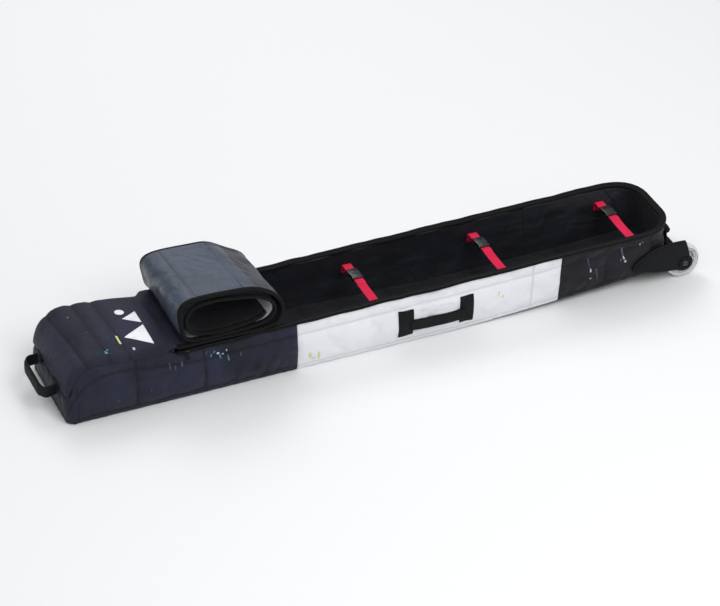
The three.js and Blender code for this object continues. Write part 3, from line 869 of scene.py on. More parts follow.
# The middle line of the rolled lid in X and Z: round its right side, over its top, down its left side,
# and once more inside itself.
ROLL_RIGHT = ((-0.347, 0.1590), (-0.300, 0.1595), (-0.258, 0.169), (-0.2405, 0.197), (-0.243, 0.228))
ROLL_TOP = ((-0.264, 0.257), (-0.302, 0.279), (-0.345, 0.288), (-0.445, 0.292), (-0.498, 0.287))
ROLL_LEFT = ((-0.519, 0.265), (-0.517, 0.220), (-0.510, 0.184), (-0.488, 0.171), (-0.430, 0.1695))
ROLL_INNER = ((-0.350, 0.172), (-0.290, 0.180), (-0.262, 0.206), (-0.270, 0.238), (-0.312, 0.261))
ROLL_TIP = ((-0.375, 0.272), (-0.440, 0.276), (-0.484, 0.267), (-0.502, 0.240), (-0.496, 0.206))
ROLL_END = ((-0.468, 0.187), (-0.410, 0.181), (-0.340, 0.187), (-0.300, 0.199), (-0.288, 0.211))
FAR_END_DROP = 0.018
FAR_SHOULDER_DROP = 0.026


def smooth_line(points, per_span=10):
    """A curve through the points."""
    ends = [points[0]] + list(points) + [points[-1]]
    line = []
    for a, b, c, d in zip(ends, ends[1:], ends[2:], ends[3:]):
        for k in range(per_span):
            t = k / per_span
            line.append(tuple(
                0.5 * (2 * q + (r - p) * t + (2 * p - 5 * q + 4 * r - w) * t**2 + (3 * q - p - 3 * r + w) * t**3)
                for p, q, r, w in zip(a, b, c, d)
            ))
    line.append(points[-1])
    return line


def lean_far_end(point):
    """The roll is a little lower towards its far end, most of all on its shoulder over the opening."""
    far = (point.y / LID_HALF + 1) / 2
    high = max(0.0, (point.z - LID_LEVEL) / 0.14)
    shoulder = ease((point.x + 0.36) / 0.1)
    drop = far * high * (FAR_END_DROP + FAR_SHOULDER_DROP * shoulder)
    return Vector((point.x - 0.01 * far * high, point.y, point.z - drop))


def resample(points, step):
    """Points about step apart along a line of points."""
    lengths = [0.0]
    for a, b in zip(points, points[1:]):
        lengths.append(lengths[-1] + math.dist(a, b))
    count = max(2, round(lengths[-1] / step))
    result, at = [], 0
    for i in range(count + 1):
        want = lengths[-1] * i / count
        while at < len(points) - 2 and lengths[at + 1] < want:
            at += 1
        span = lengths[at + 1] - lengths[at]
        share = (want - lengths[at]) / span if span else 0.0
        result.append((mix(points[at][0], points[at + 1][0], share), mix(points[at][1], points[at + 1][1], share)))
    return result, lengths[-1]


NAVY_LENGTH = 0.335
WHITE_LENGTH = 1.095
# SHOULDER_LENGTH: along the lid, where the painted shade on its lining ends.
SHOULDER_LENGTH = 0.428


def lid_material(travelled):
    """Index of the shell cloth on the lid's outer side, which changes colour along the bag."""
    if travelled < NAVY_LENGTH:
        return 1
    return 2 if travelled < WHITE_LENGTH else 3


LID_SEAMS = (0.590, 0.86, 1.095)


def rows_on_seams(line, travelled):
    """The points of a stretch that are nearest to the lid's cross seams."""
    lengths = [travelled]
    for a, b in zip(line, line[1:]):
        lengths.append(lengths[-1] + math.dist(a, b))
    within = [s for s in LID_SEAMS if lengths[0] < s < lengths[-1]]
    return {min(range(len(line)), key=lambda k: abs(lengths[k] - s)) for s in within}


def lid_piece(name, line, before, after, travelled):
    """A padded stretch of the lid along a line in X and Z, with black binding on both edges."""
    shares = [-1.0, -1 + 0.5 * BINDING / LID_HALF, -1 + BINDING / LID_HALF]
    shares += [mix(shares[-1], -shares[-1], i / 36) for i in range(1, 36)]
    shares += [-s for s in reversed(shares[:3])]
    points, uvs, seam = [], [], []
    full = [before] + line + [after]
    seam_rows = rows_on_seams(line, travelled)
    length = travelled
    for i, (x, z) in enumerate(line):
        if i:
            length += math.dist(line[i - 1], (x, z))
        previous, following = full[i], full[i + 2]
        tangent = Vector((following[0] - previous[0], 0, following[1] - previous[1])).normalized()
        outward = Vector((tangent.z, 0, -tangent.x))
        near_seam = min(abs(length - s) for s in LID_SEAMS)
        pinch = math.exp(-((near_seam / 0.006) ** 2))
        for face in (1, -1):
            for share in shares:
                y = share * LID_HALF
                edge = abs(share) > 1 - 1.01 * BINDING / LID_HALF
                thick = LID_THICK / 2 + (BINDING_LIP if edge else 0.0)
                if abs(share) == 1.0:
                    thick *= 0.6
                relief = 0.0
                if face > 0 and not edge:
                    creases = abs(wrinkle((length - 0.9 * y, y + 0.9 * length, 0.0), (0.030, 0.11, 1.0), 3.0))
                    relief = 0.0060 * (0.5 - creases)
                    relief += 0.004 * wrinkle((length, y, 0.0), (0.16, 0.12, 1.0), 11.0) - 0.0035 * pinch
                    relief *= (1 - abs(share) ** 8) * ease((length - 0.10) / 0.05)
                wave = 0.0015 * wrinkle((length, share, 0.0), (0.12, 2.0, 1.0), 5.0)
                points.append(lean_far_end(Vector((x, y, z)) + outward * (face * thick + relief * 0.8 + wave)))
                uvs.append((length, y))
                # Seam rows carry the seam mark, which the shader draws as thread and painted shade.
                seam.append(1.0 if face > 0 and not edge and i in seam_rows else 0.0)
    row = len(shares)
    faces, kinds = [], []
    for i in range(len(line) - 1):
        a, b = i * 2 * row, (i + 1) * 2 * row
        middle = travelled + (length - travelled) * (i + 0.5) / (len(line) - 1)
        for j in range(row - 1):
            edge = j < 2 or j >= row - 3
            faces.append((a + j, b + j, b + j + 1, a + j + 1))
            # Before SHOULDER_LENGTH the lining takes its darker copy: painted shade on the roll's right side and
            # shoulder.
            kinds.append(4 if edge else (5 if middle < SHOULDER_LENGTH else 0))
            faces.append((a + row + j, a + row + j + 1, b + row + j + 1, b + row + j))
            kinds.append(4 if edge else lid_material(middle))
        for j in (0, row - 1):
            faces.append((a + j, a + row + j, b + row + j, b + j))
            kinds.append(4)
    piece = make_mesh(name, points, faces, ["sheen", "navy", "white", "charcoal", "binding", "sheen painted shade"], kinds, uvs)
    point_attribute(piece, "seam", seam)
    fix_normals(piece)
    return piece, length


def cap_end(piece):
    """Closes the sheet's open ends."""
    shape = bmesh.new()
    shape.from_mesh(piece.data)
    bmesh.ops.holes_fill(shape, edges=[e for e in shape.edges if e.is_boundary], sides=0)
    shape.to_mesh(piece.data)
    shape.free()


LID_STEP = 0.006
FOLD_REACH = 0.022
FLAP_GAP = 0.004
LID_OVERLAP = 0.0004


def build_lid():
    """The lid is one line cut in three: its flap on lid_base, a curved stretch, and the coil on lid_roll."""
    curve = smooth_line(ROLL_RIGHT + ROLL_TOP + ROLL_LEFT + ROLL_INNER + ROLL_TIP + ROLL_END)
    split = 10 * (len(ROLL_RIGHT) + 2)
    stretches = ([(HINGE_X + FLAP_GAP, LID_LEVEL), curve[0]], curve[: split + 1], curve[split:])
    lines = [resample(stretch, LID_STEP)[0] for stretch in stretches]
    pieces, travelled = [], 0.0
    for number, (name, line) in enumerate(zip(("lid hinge flap", "lid outer turn", "lid coil"), lines)):
        before = lines[number - 1][-2] if number else (line[0][0] - 0.01, line[0][1])
        after = lines[number + 1][1] if number < 2 else (line[-1][0] + 0.006, line[-1][1] + 0.004)
        piece, travelled = lid_piece(name, line, before, after, travelled)
        cap_end(piece)
        hold_ends(piece)
        subdivide(piece)
        pieces.append(piece)
    base, bend, coil = pieces
    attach(base, "lid_base")
    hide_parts("lid_base_panel")
    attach(coil, "lid_roll")
    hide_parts("lid_roll_panel", "lid_roll_binding_near", "lid_roll_binding_far")
    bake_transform(bend)


def hold_ends(piece):
    """Keeps the cut ends of a sheet sharp when it is subdivided, so that it meets the next one."""
    shape = bmesh.new()
    shape.from_mesh(piece.data)
    crease = shape.edges.layers.float.new("crease_edge")
    for face in shape.faces:
        if len(face.verts) > 4:
            for edge in face.edges:
                edge[crease] = 1.0
    shape.to_mesh(piece.data)
    shape.free()


def build_hinge_fold():
    """The cloth between the closed nose and the lid's flap."""
    start, end = DECK_END_X - FOLD_REACH, HINGE_X + FOLD_REACH
    xs = [mix(start, end, i / 16) for i in range(17)]
    shares = [i / 24 for i in range(-24, 25)]

    def point(x, share, lift):
        rise = ease((x - DECK_END_X + 0.012) / 0.022)
        nose = deck_point(min(x, DECK_END_X), share, DECK_THICK + 0.004)
        flap = LID_LEVEL + LID_THICK / 2 + 0.0012
        half_y = mix(nose.y, share * (LID_HALF - 0.002), rise)
        return Vector((x, half_y, mix(nose.z, flap, rise) + lift))

    piece, _ = padded_sheet(
        "lid hinge fold",
        xs,
        shares,
        lambda x, share: point(x, share, 0.0),
        lambda x, share: point(x, share, -0.004),
        ["navy", "binding"],
    )
    subdivide(piece)
    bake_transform(piece)


# ------------------------------------------------------------------ rim, floor and base
def rim_path():
    start, end = HINGE_X + 0.002, TAIL_X - RIM_CORNER
    straight = [mix(start, end, i / 120) for i in range(121)]
    near = [(x, -RIM_HALF) for x in straight]
    corner = [rounded_end(s, RIM_HALF, RIM_CORNER) for s in end_shares()]
    tail = [(TAIL_X - back, y) for back, y in corner[1:-1]]
    far = [(x, RIM_HALF) for x in reversed(straight)]
    return [Vector((x, y, rim_z(x))) for x, y in near + tail + far]


def rim_wave(x, side):
    """How the soft rim wanders: sideways and upwards, in metres; it is still at the hinge."""
    free = ease((x - HINGE_X) / 0.1)
    sideways = 0.0035 * wrinkle((x, side, 0.0), (0.11, 1.0, 1.0), 21.0)
    upwards = 0.0030 * wrinkle((x, side, 0.0), (0.085, 1.0, 1.0), 2.0)
    return free * sideways, free * upwards


def build_rim():
    path = rim_path()
    frames = level_frames(path)
    section = [(-0.0095, -0.005), (-0.0105, 0.001), (-0.008, 0.0042), (0.0, 0.0038), (0.003, 0.0054), (0.0060, 0.0054)]
    section += [(0.0072, 0.0035), (0.0078, -0.001), (0.0070, -0.005), (0.004, -0.0025), (-0.004, -0.0020)]
    wavy = []
    for place, (side, _) in zip(path, frames):
        sideways, upwards = rim_wave(place.x, math.copysign(1, place.y))
        wavy.append(place + side * sideways + Vector((0, 0, upwards)))
    piece = sweep("rim zip and binding", wavy, section, ["binding"], frames)
    subdivide(piece)
    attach(piece, "shell")
    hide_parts("zip_tape_near", "zip_tape_far", "zip_tape_tail")
    coil_path = [p + side * 0.0062 + Vector((0, 0, 0.0056)) for p, (side, _) in zip(wavy, frames)]
    coil = sweep("rim zip coil", coil_path, rounded_section(0.0034, 0.0018, 0.0008, 1), ["zip"], frames)
    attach(coil, "shell")


def plan_half(x):
    """Half the width of the base at x, with its rounded corners at both ends."""
    half = half_width(x, 0)
    if x > TAIL_WALL_X:
        return half - TAIL_CORNER + math.sqrt(max(0.0, TAIL_CORNER**2 - (x - TAIL_WALL_X) ** 2))
    if x < NOSE_WALL_X:
        return half - NOSE_CORNER + math.sqrt(max(0.0, NOSE_CORNER**2 - (NOSE_WALL_X - x) ** 2))
    return half


FLOOR_SEAMS = (-0.6, -0.35, -0.1, 0.15, 0.4, 0.65)


def build_floor():
    for node, name, material, seams, lift, margin, pad in (
        ("base_panel", "base sheet", "charcoal", (), 0.0, 0.004, 0.0),
        ("floor_pad", "floor pad cloth", "lining", FLOOR_SEAMS, 0.0084, 0.008, 0.003),
    ):
        xs, seam_columns = samples(NOSE_X + margin, TAIL_X - margin, 0.012, seams)
        shares = [i / 14 for i in range(-14, 15)]
        place = lambda x, s, z: Vector((x, s * (plan_half(x) - margin), base_z(x) + lift + z))
        piece, pins = padded_sheet(
            name,
            xs,
            shares,
            lambda x, s: place(x, s, 0.008),
            lambda x, s: place(x, s, 0.0),
            [material, material],
            lambda i, j: seam_columns[i],
            pad=pad,
        )
        if seams:
            puff(piece, pins, 1.0, 0.01, 0.005)
        subdivide(piece)
        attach(piece, "shell")
        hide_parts(node)


# ------------------------------------------------------------------ straps and buckles
def strip_path(points, step=0.006, radius=0.01):
    """A line through the points with its corners rounded."""
    line = [Vector(points[0])]
    for before, corner, after in zip(points, points[1:], points[2:]):
        corner = Vector(corner)
        a = corner + (Vector(before) - corner).normalized() * radius
        b = corner + (Vector(after) - corner).normalized() * radius
        for k in range(5):
            t = k / 4
            line.append(a * (1 - t) ** 2 + corner * (2 * t * (1 - t)) + b * t**2)
    line.append(Vector(points[-1]))
    result = [line[0]]
    for a, b in zip(line, line[1:]):
        count = max(1, round((b - a).length / step))
        result.extend(a.lerp(b, k / count) for k in range(1, count + 1))
    return result


def strip(name, path, width, thick, material, across=Vector((1, 0, 0))):
    """Flat webbing along a path, with its width along across."""
    frames = []
    for i in range(len(path)):
        along = (path[min(i + 1, len(path) - 1)] - path[max(i - 1, 0)]).normalized()
        frames.append((across, across.cross(along)))
    section = rounded_section(width, thick, thick * 0.45, 2)
    return sweep(name, path, section, [material], frames)


def build_straps():
    for name in ("front", "middle", "rear"):
        socket_low, socket_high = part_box(f"buckle_socket_{name}")
        tongue_low, tongue_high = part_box(f"buckle_tongue_{name}")
        x = (socket_low.x + socket_high.x) / 2
        z = (socket_low.z + socket_high.z) / 2
        for kind, side in (("short", NEAR), ("long", FAR)):
            low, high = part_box(f"strap_{kind}_{name}")
            wall_y = side * (max(abs(low.y), abs(high.y)) - 0.001)
            level = high.z - 0.001
            end_y = high.y if side == NEAR else low.y
            sag = -0.0015 if side == NEAR else 0.0
            middle_y = (wall_y + end_y) / 2
            points = [(x, wall_y, low.z - 0.004), (x, wall_y, level), (x, middle_y, level + sag), (x, end_y, level)]
            piece = strip(f"{name} strap {kind}", strip_path(points), 0.025, 0.0018, "red")
            if side == NEAR:
                keeper = strip_path([(x, end_y + 0.004, z), (x, end_y - 0.02, z + 0.003), (x, end_y - 0.028, z - 0.001)])
                fold = strip(f"{name} strap fold", keeper, 0.025, 0.0018, "red")
                piece = join([piece, fold])
            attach(piece, "shell")
            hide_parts(f"strap_{kind}_{name}")
        build_socket(name, x, z, socket_low, socket_high)
        build_tongue(name, x, z, tongue_low, tongue_high)


def build_socket(name, x, z, low, high):
    """The buckle's housing: a flared shell with a raised plate on its face."""
    length = high.y - low.y
    half = (high.x - low.x) / 2
    outline = []
    for k in range(13):
        t = k / 12
        pinch = 0.0022 * math.sin(math.pi * t) ** 2
        outline.append((half - pinch, low.y + t * length))
    outline += [(-px, py) for px, py in reversed(outline)]
    place = lambda a, b, h: Vector((x + a, b, z - 0.0055 + h))
    shell = plate(f"{name} buckle housing", outline, 0.011, place, "acetal", 0.0022)
    windows = []
    for side in (-1, 1):
        slot = [(side * (half - 0.0035), low.y + 0.012), (side * (half + 0.002), low.y + 0.012)]
        slot += [(side * (half + 0.002), low.y + 0.022), (side * (half - 0.0035), low.y + 0.022)]
        windows.append(slot)
    ridge = [(half - 0.008, low.y + 0.007), (half - 0.008, high.y - 0.008)]
    ridge += [(-(half - 0.008), high.y - 0.008), (-(half - 0.008), low.y + 0.007)]
    face = plate(f"{name} buckle face", ridge, 0.0012, lambda a, b, h: Vector((x + a, b, z + 0.0049 + h)), "acetal", 0.0005)
    piece = join([shell, face])
    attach(piece, "shell")
    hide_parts(f"buckle_socket_{name}")


def build_tongue(name, x, z, low, high):
    """The part that slides out: a ladder-lock plate with a webbing bar and two prongs."""
    half = (high.x - low.x) / 2
    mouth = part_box(f"buckle_socket_{name}")[1].y
    outline = [(half - 0.001, mouth + 0.0006), (half, mouth + 0.006), (half - 0.001, high.y)]
    outline += [(-px, py) for px, py in reversed(outline)]
    body = plate(f"{name} buckle tongue", outline, 0.0062, lambda a, b, h: Vector((x + a, b, z - 0.0026 + h)), "acetal", 0.0014)
    parts = [body]
    for k in range(3):
        y = mouth + 0.006 + k * 0.0045
        bar = [(half - 0.004, y), (half - 0.004, y + 0.002), (0.004 - half, y + 0.002), (0.004 - half, y)]
        place = lambda a, b, h: Vector((x + a, b, z + 0.0032 + h))
        parts.append(plate(f"{name} tongue rib {k}", bar, 0.0012, place, "acetal", 0.0004))
    for side in (-1, 1):
        prong = [(side * (half - 0.004), low.y), (side * (half - 0.0095), low.y + 0.001)]
        prong += [(side * (half - 0.0095), mouth + 0.002), (side * (half - 0.004), mouth + 0.002)]
        parts.append(plate(f"{name} prong {side}", prong, 0.0045, lambda a, b, h: Vector((x + a, b, z - 0.0022 + h)), "acetal", 0.001))
    piece = join(parts)
    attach(piece, f"buckle_tongue_{name}")
    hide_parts(f"buckle_tongue_{name}")


# ------------------------------------------------------------------ handles
def build_side_handles():
    for name, side in SIDES.items():
        grip_low, grip_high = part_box(f"side_handle_grip_{name}")
        surface = cloth_surface(f"middle_wall_{name}")
        for end in ("front", "rear"):
            build_side_patch(name, side, end, surface)
        if side == NEAR:
            build_size_window(surface)
        middle = (grip_low.x + grip_high.x) / 2
        reach = (grip_high.x - grip_low.x) / 2 + 0.012
        y = side * (abs(grip_low.y) + abs(grip_high.y)) / 2
        z = (grip_low.z + grip_high.z) / 2
        path, sizes = [], []
        for k in range(41):
            t = 2 * k / 40 - 1
            path.append(Vector((middle + reach * t, y, z + 0.004 * abs(t) ** 3)))
            full = clamp01((1 - abs(t)) / 0.1)
            sizes.append(0.8 + 0.2 * ease(full))
        section = rounded_section(0.011, 0.032, 0.0045, 4)
        frames = [(Vector((0, 1, 0)) * mix(0.75, 1.0, s), Vector((0, 0, 1)) * s) for s in sizes]
        piece = sweep(f"side grip {name}", path, section, ["webbing"], frames)
        subdivide(piece)
        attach(piece, f"side_handle_{name}")
        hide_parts(f"side_handle_grip_{name}")


def build_side_patch(name, side, end, surface):
    """A stitched webbing patch that lies on the wall's cloth."""
    node = f"side_handle_patch_{name}_{end}"
    low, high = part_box(node)
    xs = [mix(low.x, high.x, i / 12) for i in range(13)]
    zs = [mix(low.z, high.z, i / 20) for i in range(21)]
    inward = Vector((0, -side, 0))

    def point(x, z, lift):
        found = surface.ray_cast(Vector((x, side * 0.2, z)), inward, 0.1)[0]
        return found - inward * lift

    marks = lambda i, j: i in (1, 11) or j in (1, 10, 19)
    piece, _ = padded_sheet(
        f"{end} patch {name}",
        xs,
        zs,
        lambda x, z: point(x, z, 0.0030),
        lambda x, z: point(x, z, -0.0015),
        ["webbing", "webbing"],
        marks,
    )
    subdivide(piece)
    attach(piece, "shell")
    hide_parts(node)


def build_size_window(surface):
    """A blank window stitched to the wall between the near handle's patches."""
    front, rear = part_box("side_handle_patch_near_front"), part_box("side_handle_patch_near_rear")
    xs = [mix(front[1].x - 0.002, rear[0].x + 0.002, i / 40) for i in range(41)]
    zs = [mix(front[0].z + 0.008, front[1].z - 0.006, i / 16) for i in range(17)]

    def point(x, z, lift):
        found = surface.ray_cast(Vector((x, -0.2, z)), Vector((0, 1, 0)), 0.1)[0]
        crinkle = 0.0006 * wrinkle((x, 0.0, z), (0.018, 1.0, 0.012), 5.0) if lift > 0 else 0.0
        return found - Vector((0, lift + crinkle, 0))

    piece, _ = padded_sheet(
        "size window",
        xs,
        zs,
        lambda x, z: point(x, z, 0.0012),
        lambda x, z: point(x, z, -0.0010),
        ["window", "window"],
    )
    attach(piece, "shell")


GRIP_BEND = 0.014


def build_nose_handle():
    """A padded grip in three pieces: two ends at the patches, and the bar between them, which swings."""
    low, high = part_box("nose_handle_grip")
    z = (low.z + high.z) / 2
    half = high.y
    out = low.x - 0.009
    corner = [(high.x - 0.001, -half + 0.004, z), (out + 0.014, -half, z - 0.004), (out + 0.003, -half + 0.02, z - 0.005)]
    points = corner + [(x, -y, z) for x, y, z in reversed(corner)]
    path = strip_path(points, 0.005, 0.009)
    up = Vector((0, 0, 1))
    frames = []
    for i in range(len(path)):
        along = (path[min(i + 1, len(path) - 1)] - path[max(i - 1, 0)]).normalized()
        padded = 1.0 if abs(path[i].y) < half - 0.02 else 0.6
        frames.append((along.cross(up) * padded, up * mix(0.86, 1.0, padded)))
    section = rounded_section(0.0105, 0.035, 0.0045, 3)
    cut = min(range(len(path) // 2), key=lambda i: abs(path[i].x - high.x + GRIP_BEND))
    last = len(path) - 1
    spans = {"nose grip": (cut, last - cut), "nose grip end near": (0, cut), "nose grip end far": (last - cut, last)}
    for name, (first, final) in spans.items():
        piece = sweep(name, path[first : final + 1], section, ["webbing"], frames[first : final + 1])
        hold_ends(piece)
        subdivide(piece)
        if name == "nose grip":
            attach(piece, "nose_handle")
            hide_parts("nose_handle_grip")
        else:
            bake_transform(piece)
    for name in SIDES:
        flat_patch(f"nose patch {name}", f"nose_handle_patch_{name}")


def flat_patch(name, node):
    low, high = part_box(node)
    ys = [mix(low.y, high.y, i / 10) for i in range(11)]
    zs = [mix(low.z, high.z, i / 10) for i in range(11)]
    piece, _ = padded_sheet(
        name,
        ys,
        zs,
        lambda y, z: Vector((low.x, y, z)),
        lambda y, z: Vector((high.x, y, z)),
        ["webbing", "webbing"],
        lambda i, j: i in (1, 9) or j in (1, 9),
    )
    soften(piece, 0.0008, 2)
    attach(piece, "shell")
    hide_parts(node)


def build_tail_handle():
    low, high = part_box("tail_handle_grip")
    middle = (low + high) / 2
    radius = (high.z - low.z) / 2
    profile = []
    for k in range(33):
        t = 2 * k / 32 - 1
        taper = math.sqrt(max(0.0, 1 - abs(t) ** 10))
        rib = 0.0005 * math.cos(16 * math.pi * t)
        profile.append((max(0.0005, (radius - 0.001) * taper + rib), t * (high.y - low.y) / 2))
    piece = lathe("tail grip", profile, middle, "webbing", 40, False)
    cap_end(piece)
    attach(piece, "tail_handle")
    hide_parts("tail_handle_grip")
    for name in SIDES:
        flat_patch(f"tail patch {name}", f"tail_handle_patch_{name}")


# ------------------------------------------------------------------ prints: a plain mark and small colour flecks
PRINT_LIFT = 0.0005
PRINT_STEP = 0.004


def lay_on(surface, point, toward):
    """The point moved along a direction to the cloth, and a hair above it."""
    start = Vector(point) - toward * 0.05
    found = surface.ray_cast(start, toward, 0.15)[0]
    if found is None:
        return None
    return found - toward * PRINT_LIFT


def print_shapes(name, shapes, toward, material):
    """Small flat shapes laid on the cloth as one mesh. Each is a surface and the corners of an outline."""
    points, faces = [], []
    for surface, corners in shapes:
        corners = [Vector(corner) for corner in corners]
        outline = []
        for a, b in zip(corners, corners[1:] + corners[:1]):
            count = max(1, math.ceil((b - a).length / PRINT_STEP))
            outline += [a.lerp(b, k / count) for k in range(count)]
        middle = sum(corners, Vector()) / len(corners)
        rings = max(1, math.ceil(max((c - middle).length for c in corners) / PRINT_STEP))
        laid = [lay_on(surface, p.lerp(middle, ring / rings), toward) for ring in range(rings) for p in outline]
        laid.append(lay_on(surface, middle, toward))
        if None in laid:
            continue
        first, size = len(points), len(outline)
        points += laid
        for i in range(size):
            k = (i + 1) % size
            for ring in range(rings - 1):
                a, b = first + ring * size, first + (ring + 1) * size
                faces.append((a + i, a + k, b + k, b + i))
            last = first + (rings - 1) * size
            faces.append((last + i, last + k, first + rings * size))
    piece = make_mesh(name, points, faces, [material])
    fix_normals(piece)
    skin = piece.modifiers.new("print thickness", "SOLIDIFY")
    skin.thickness = 0.0006
    skin.offset = 0.0
    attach(piece, "shell")


DECK_TOP_Z = CREST_Z + 0.02
PEAKS = (((-0.110, -0.582), (-0.066, -0.648), (-0.022, -0.582)), ((-0.012, -0.582), (0.016, -0.626), (0.044, -0.582)))
SUN = (0.050, -0.622, 0.013)
SIZE_STRIP = ((-0.668, -0.088), (-0.662, -0.088), (-0.662, -0.050), (-0.668, -0.050))


def build_mark(surface):
    """Two plain peaks and a sun, printed on the closed nose, with a plain pale strip beside them."""
    down = Vector((0, 0, -1))
    shapes = [(surface, [(x, y, DECK_TOP_Z) for y, x in peak]) for peak in PEAKS]
    y, x, radius = SUN
    turns = [math.tau * k / 16 for k in range(16)]
    shapes.append((surface, [(x + radius * math.cos(t), y + radius * math.sin(t), DECK_TOP_Z) for t in turns]))
    print_shapes("nose mark", shapes, down, "print")
    print_shapes("nose strip", [(surface, [(x, y, DECK_TOP_Z) for x, y in SIZE_STRIP])], down, "fleck yellow")


# Each fleck: along the bag, up (or across, on the deck), its length and width, its turn in degrees and its colour.
SIDE_FLECKS = (
    (-0.452, 0.122, 0.010, 0.003, 70, "violet"), (-0.440, 0.112, 0.008, 0.004, 80, "teal"),
    (-0.431, 0.120, 0.007, 0.003, 60, "teal"), (-0.421, 0.115, 0.006, 0.005, 30, "white"),
    (-0.416, 0.104, 0.012, 0.004, 100, "teal"), (-0.408, 0.110, 0.005, 0.004, 20, "white"),
    (-0.397, 0.118, 0.006, 0.004, 75, "white"), (-0.394, 0.096, 0.014, 0.003, 95, "teal"),
    (-0.520, 0.108, 0.016, 0.004, 85, "violet"), (-0.553, 0.110, 0.020, 0.004, 95, "violet"),
    (-0.538, 0.100, 0.014, 0.004, 88, "violet"), (-0.610, 0.060, 0.006, 0.004, 10, "violet"),
    (-0.360, 0.100, 0.010, 0.003, 80, "violet"), (-0.700, 0.050, 0.005, 0.003, 40, "violet"),
)
NEAR_WHITE_FLECKS = (
    (-0.168, 0.046, 0.016, 0.006, 88, "yellow"), (-0.143, 0.040, 0.022, 0.005, 95, "yellow"),
    (-0.157, 0.030, 0.010, 0.005, 10, "yellow"), (0.374, 0.098, 0.012, 0.004, 80, "yellow"),
    (0.385, 0.088, 0.008, 0.004, 60, "yellow"),
)
TAIL_FLECKS = (
    (0.800, 0.150, 0.016, 0.004, 115, "violet"), (0.795, 0.142, 0.008, 0.003, 110, "white"),
    (0.742, 0.134, 0.030, 0.004, 100, "violet"), (0.747, 0.112, 0.014, 0.004, 110, "white"),
    (0.740, 0.108, 0.010, 0.004, 80, "violet"), (0.754, 0.098, 0.008, 0.004, 100, "white"),
    (0.640, 0.124, 0.034, 0.003, 100, "violet"), (0.648, 0.098, 0.012, 0.004, 100, "white"),
    (0.668, 0.086, 0.030, 0.003, 105, "violet"), (0.672, 0.064, 0.014, 0.003, 95, "violet"),
    (0.650, 0.070, 0.006, 0.003, 20, "white"),
)
DECK_FLECKS = (
    (-0.712, -0.112, 0.012, 0.006, 95, "teal"), (-0.707, -0.104, 0.006, 0.005, 60, "teal"),
    (-0.640, -0.118, 0.010, 0.005, 80, "white"), (-0.756, 0.064, 0.006, 0.005, 10, "teal"),
    (-0.690, -0.060, 0.005, 0.003, 40, "violet"), (-0.735, -0.020, 0.005, 0.003, 70, "violet"),
)


def fleck_corners(along, up, length, width, turn, rng):
    """A ragged little stroke as four flat corners."""
    ahead = Vector((math.cos(math.radians(turn)), math.sin(math.radians(turn)))) * length / 2
    aside = Vector((-ahead.y, ahead.x)).normalized() * width / 2
    middle = Vector((along, up))
    corners = (middle - ahead - aside, middle + ahead - aside, middle + ahead + aside, middle - ahead + aside)
    return [corner + aside * rng.uniform(-0.5, 0.5) + ahead * rng.uniform(-0.15, 0.15) for corner in corners]


def build_flecks(walls, deck):
    rng = random.Random(7)
    for colour in ("white", "teal", "violet", "yellow"):
        on_walls, on_deck = [], []
        for section, flecks in (("nose", SIDE_FLECKS), ("middle", NEAR_WHITE_FLECKS), ("tail", TAIL_FLECKS)):
            for *shape, kind in flecks:
                corners = fleck_corners(*shape, rng)
                if kind == colour:
                    on_walls.append((walls[section], [(x, -0.15, z) for x, z in corners]))
        for *shape, kind in DECK_FLECKS:
            corners = fleck_corners(*shape, rng)
            if kind == colour:
                on_deck.append((deck, [(x, y, DECK_TOP_Z) for x, y in corners]))
        print_shapes(f"{colour} flecks near", on_walls, Vector((0, 1, 0)), f"fleck {colour}")
        if on_deck:
            print_shapes(f"{colour} flecks nose", on_deck, Vector((0, 0, -1)), f"fleck {colour}")


def build_prints():
    deck = cloth_surface("nose_deck_cloth")
    build_mark(deck)
    build_flecks({section: cloth_surface(f"{section}_wall_near") for section in ("nose", "middle", "tail")}, deck)


# ------------------------------------------------------------------ zip sliders
def build_sliders():
    for name, side in SIDES.items():
        low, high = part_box(f"zip_slider_{name}")
        middle = (low + high) / 2
        outline = []
        for k in range(24):
            angle = math.tau * k / 24
            wide = 1.0 if math.cos(angle) > 0 else 0.82
            outline.append((0.0068 * math.cos(angle), 0.0046 * wide * math.copysign(abs(math.sin(angle)) ** 0.7, math.sin(angle))))
        top = plate(
            f"slider body {name}", outline, 0.0024, lambda a, b, h: Vector((middle.x + a, middle.y + b, high.z - 0.0028 + h)), "acetal", 0.0009
        )
        skirt = [(-0.006, -0.002), (0.006, -0.002), (0.006, 0.002), (-0.006, 0.002)]
        outer_y = side * (max(abs(low.y), abs(high.y)) - 0.0022)
        side_plate = plate(
            f"zip slider side {name}", skirt, high.z - low.z - 0.002, lambda a, b, h: Vector((middle.x + a, outer_y + b, low.z + h)), "acetal", 0.0009
        )
        piece = join([top, side_plate])
        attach(piece, f"zip_slider_{name}")
        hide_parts(f"zip_slider_{name}")
        low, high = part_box(f"zip_pull_{name}")
        x = (low.x + high.x) / 2
        points = [(x, (low.y + high.y) / 2, high.z - 0.001), (x, (low.y + high.y) / 2, low.z + 0.001)]
        path = [Vector(points[0]).lerp(Vector(points[1]), k / 8) for k in range(9)]
        pull = strip(f"slider pull {name}", path, 0.008, 0.002, "webbing")
        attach(pull, f"zip_pull_{name}")
        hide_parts(f"zip_pull_{name}")


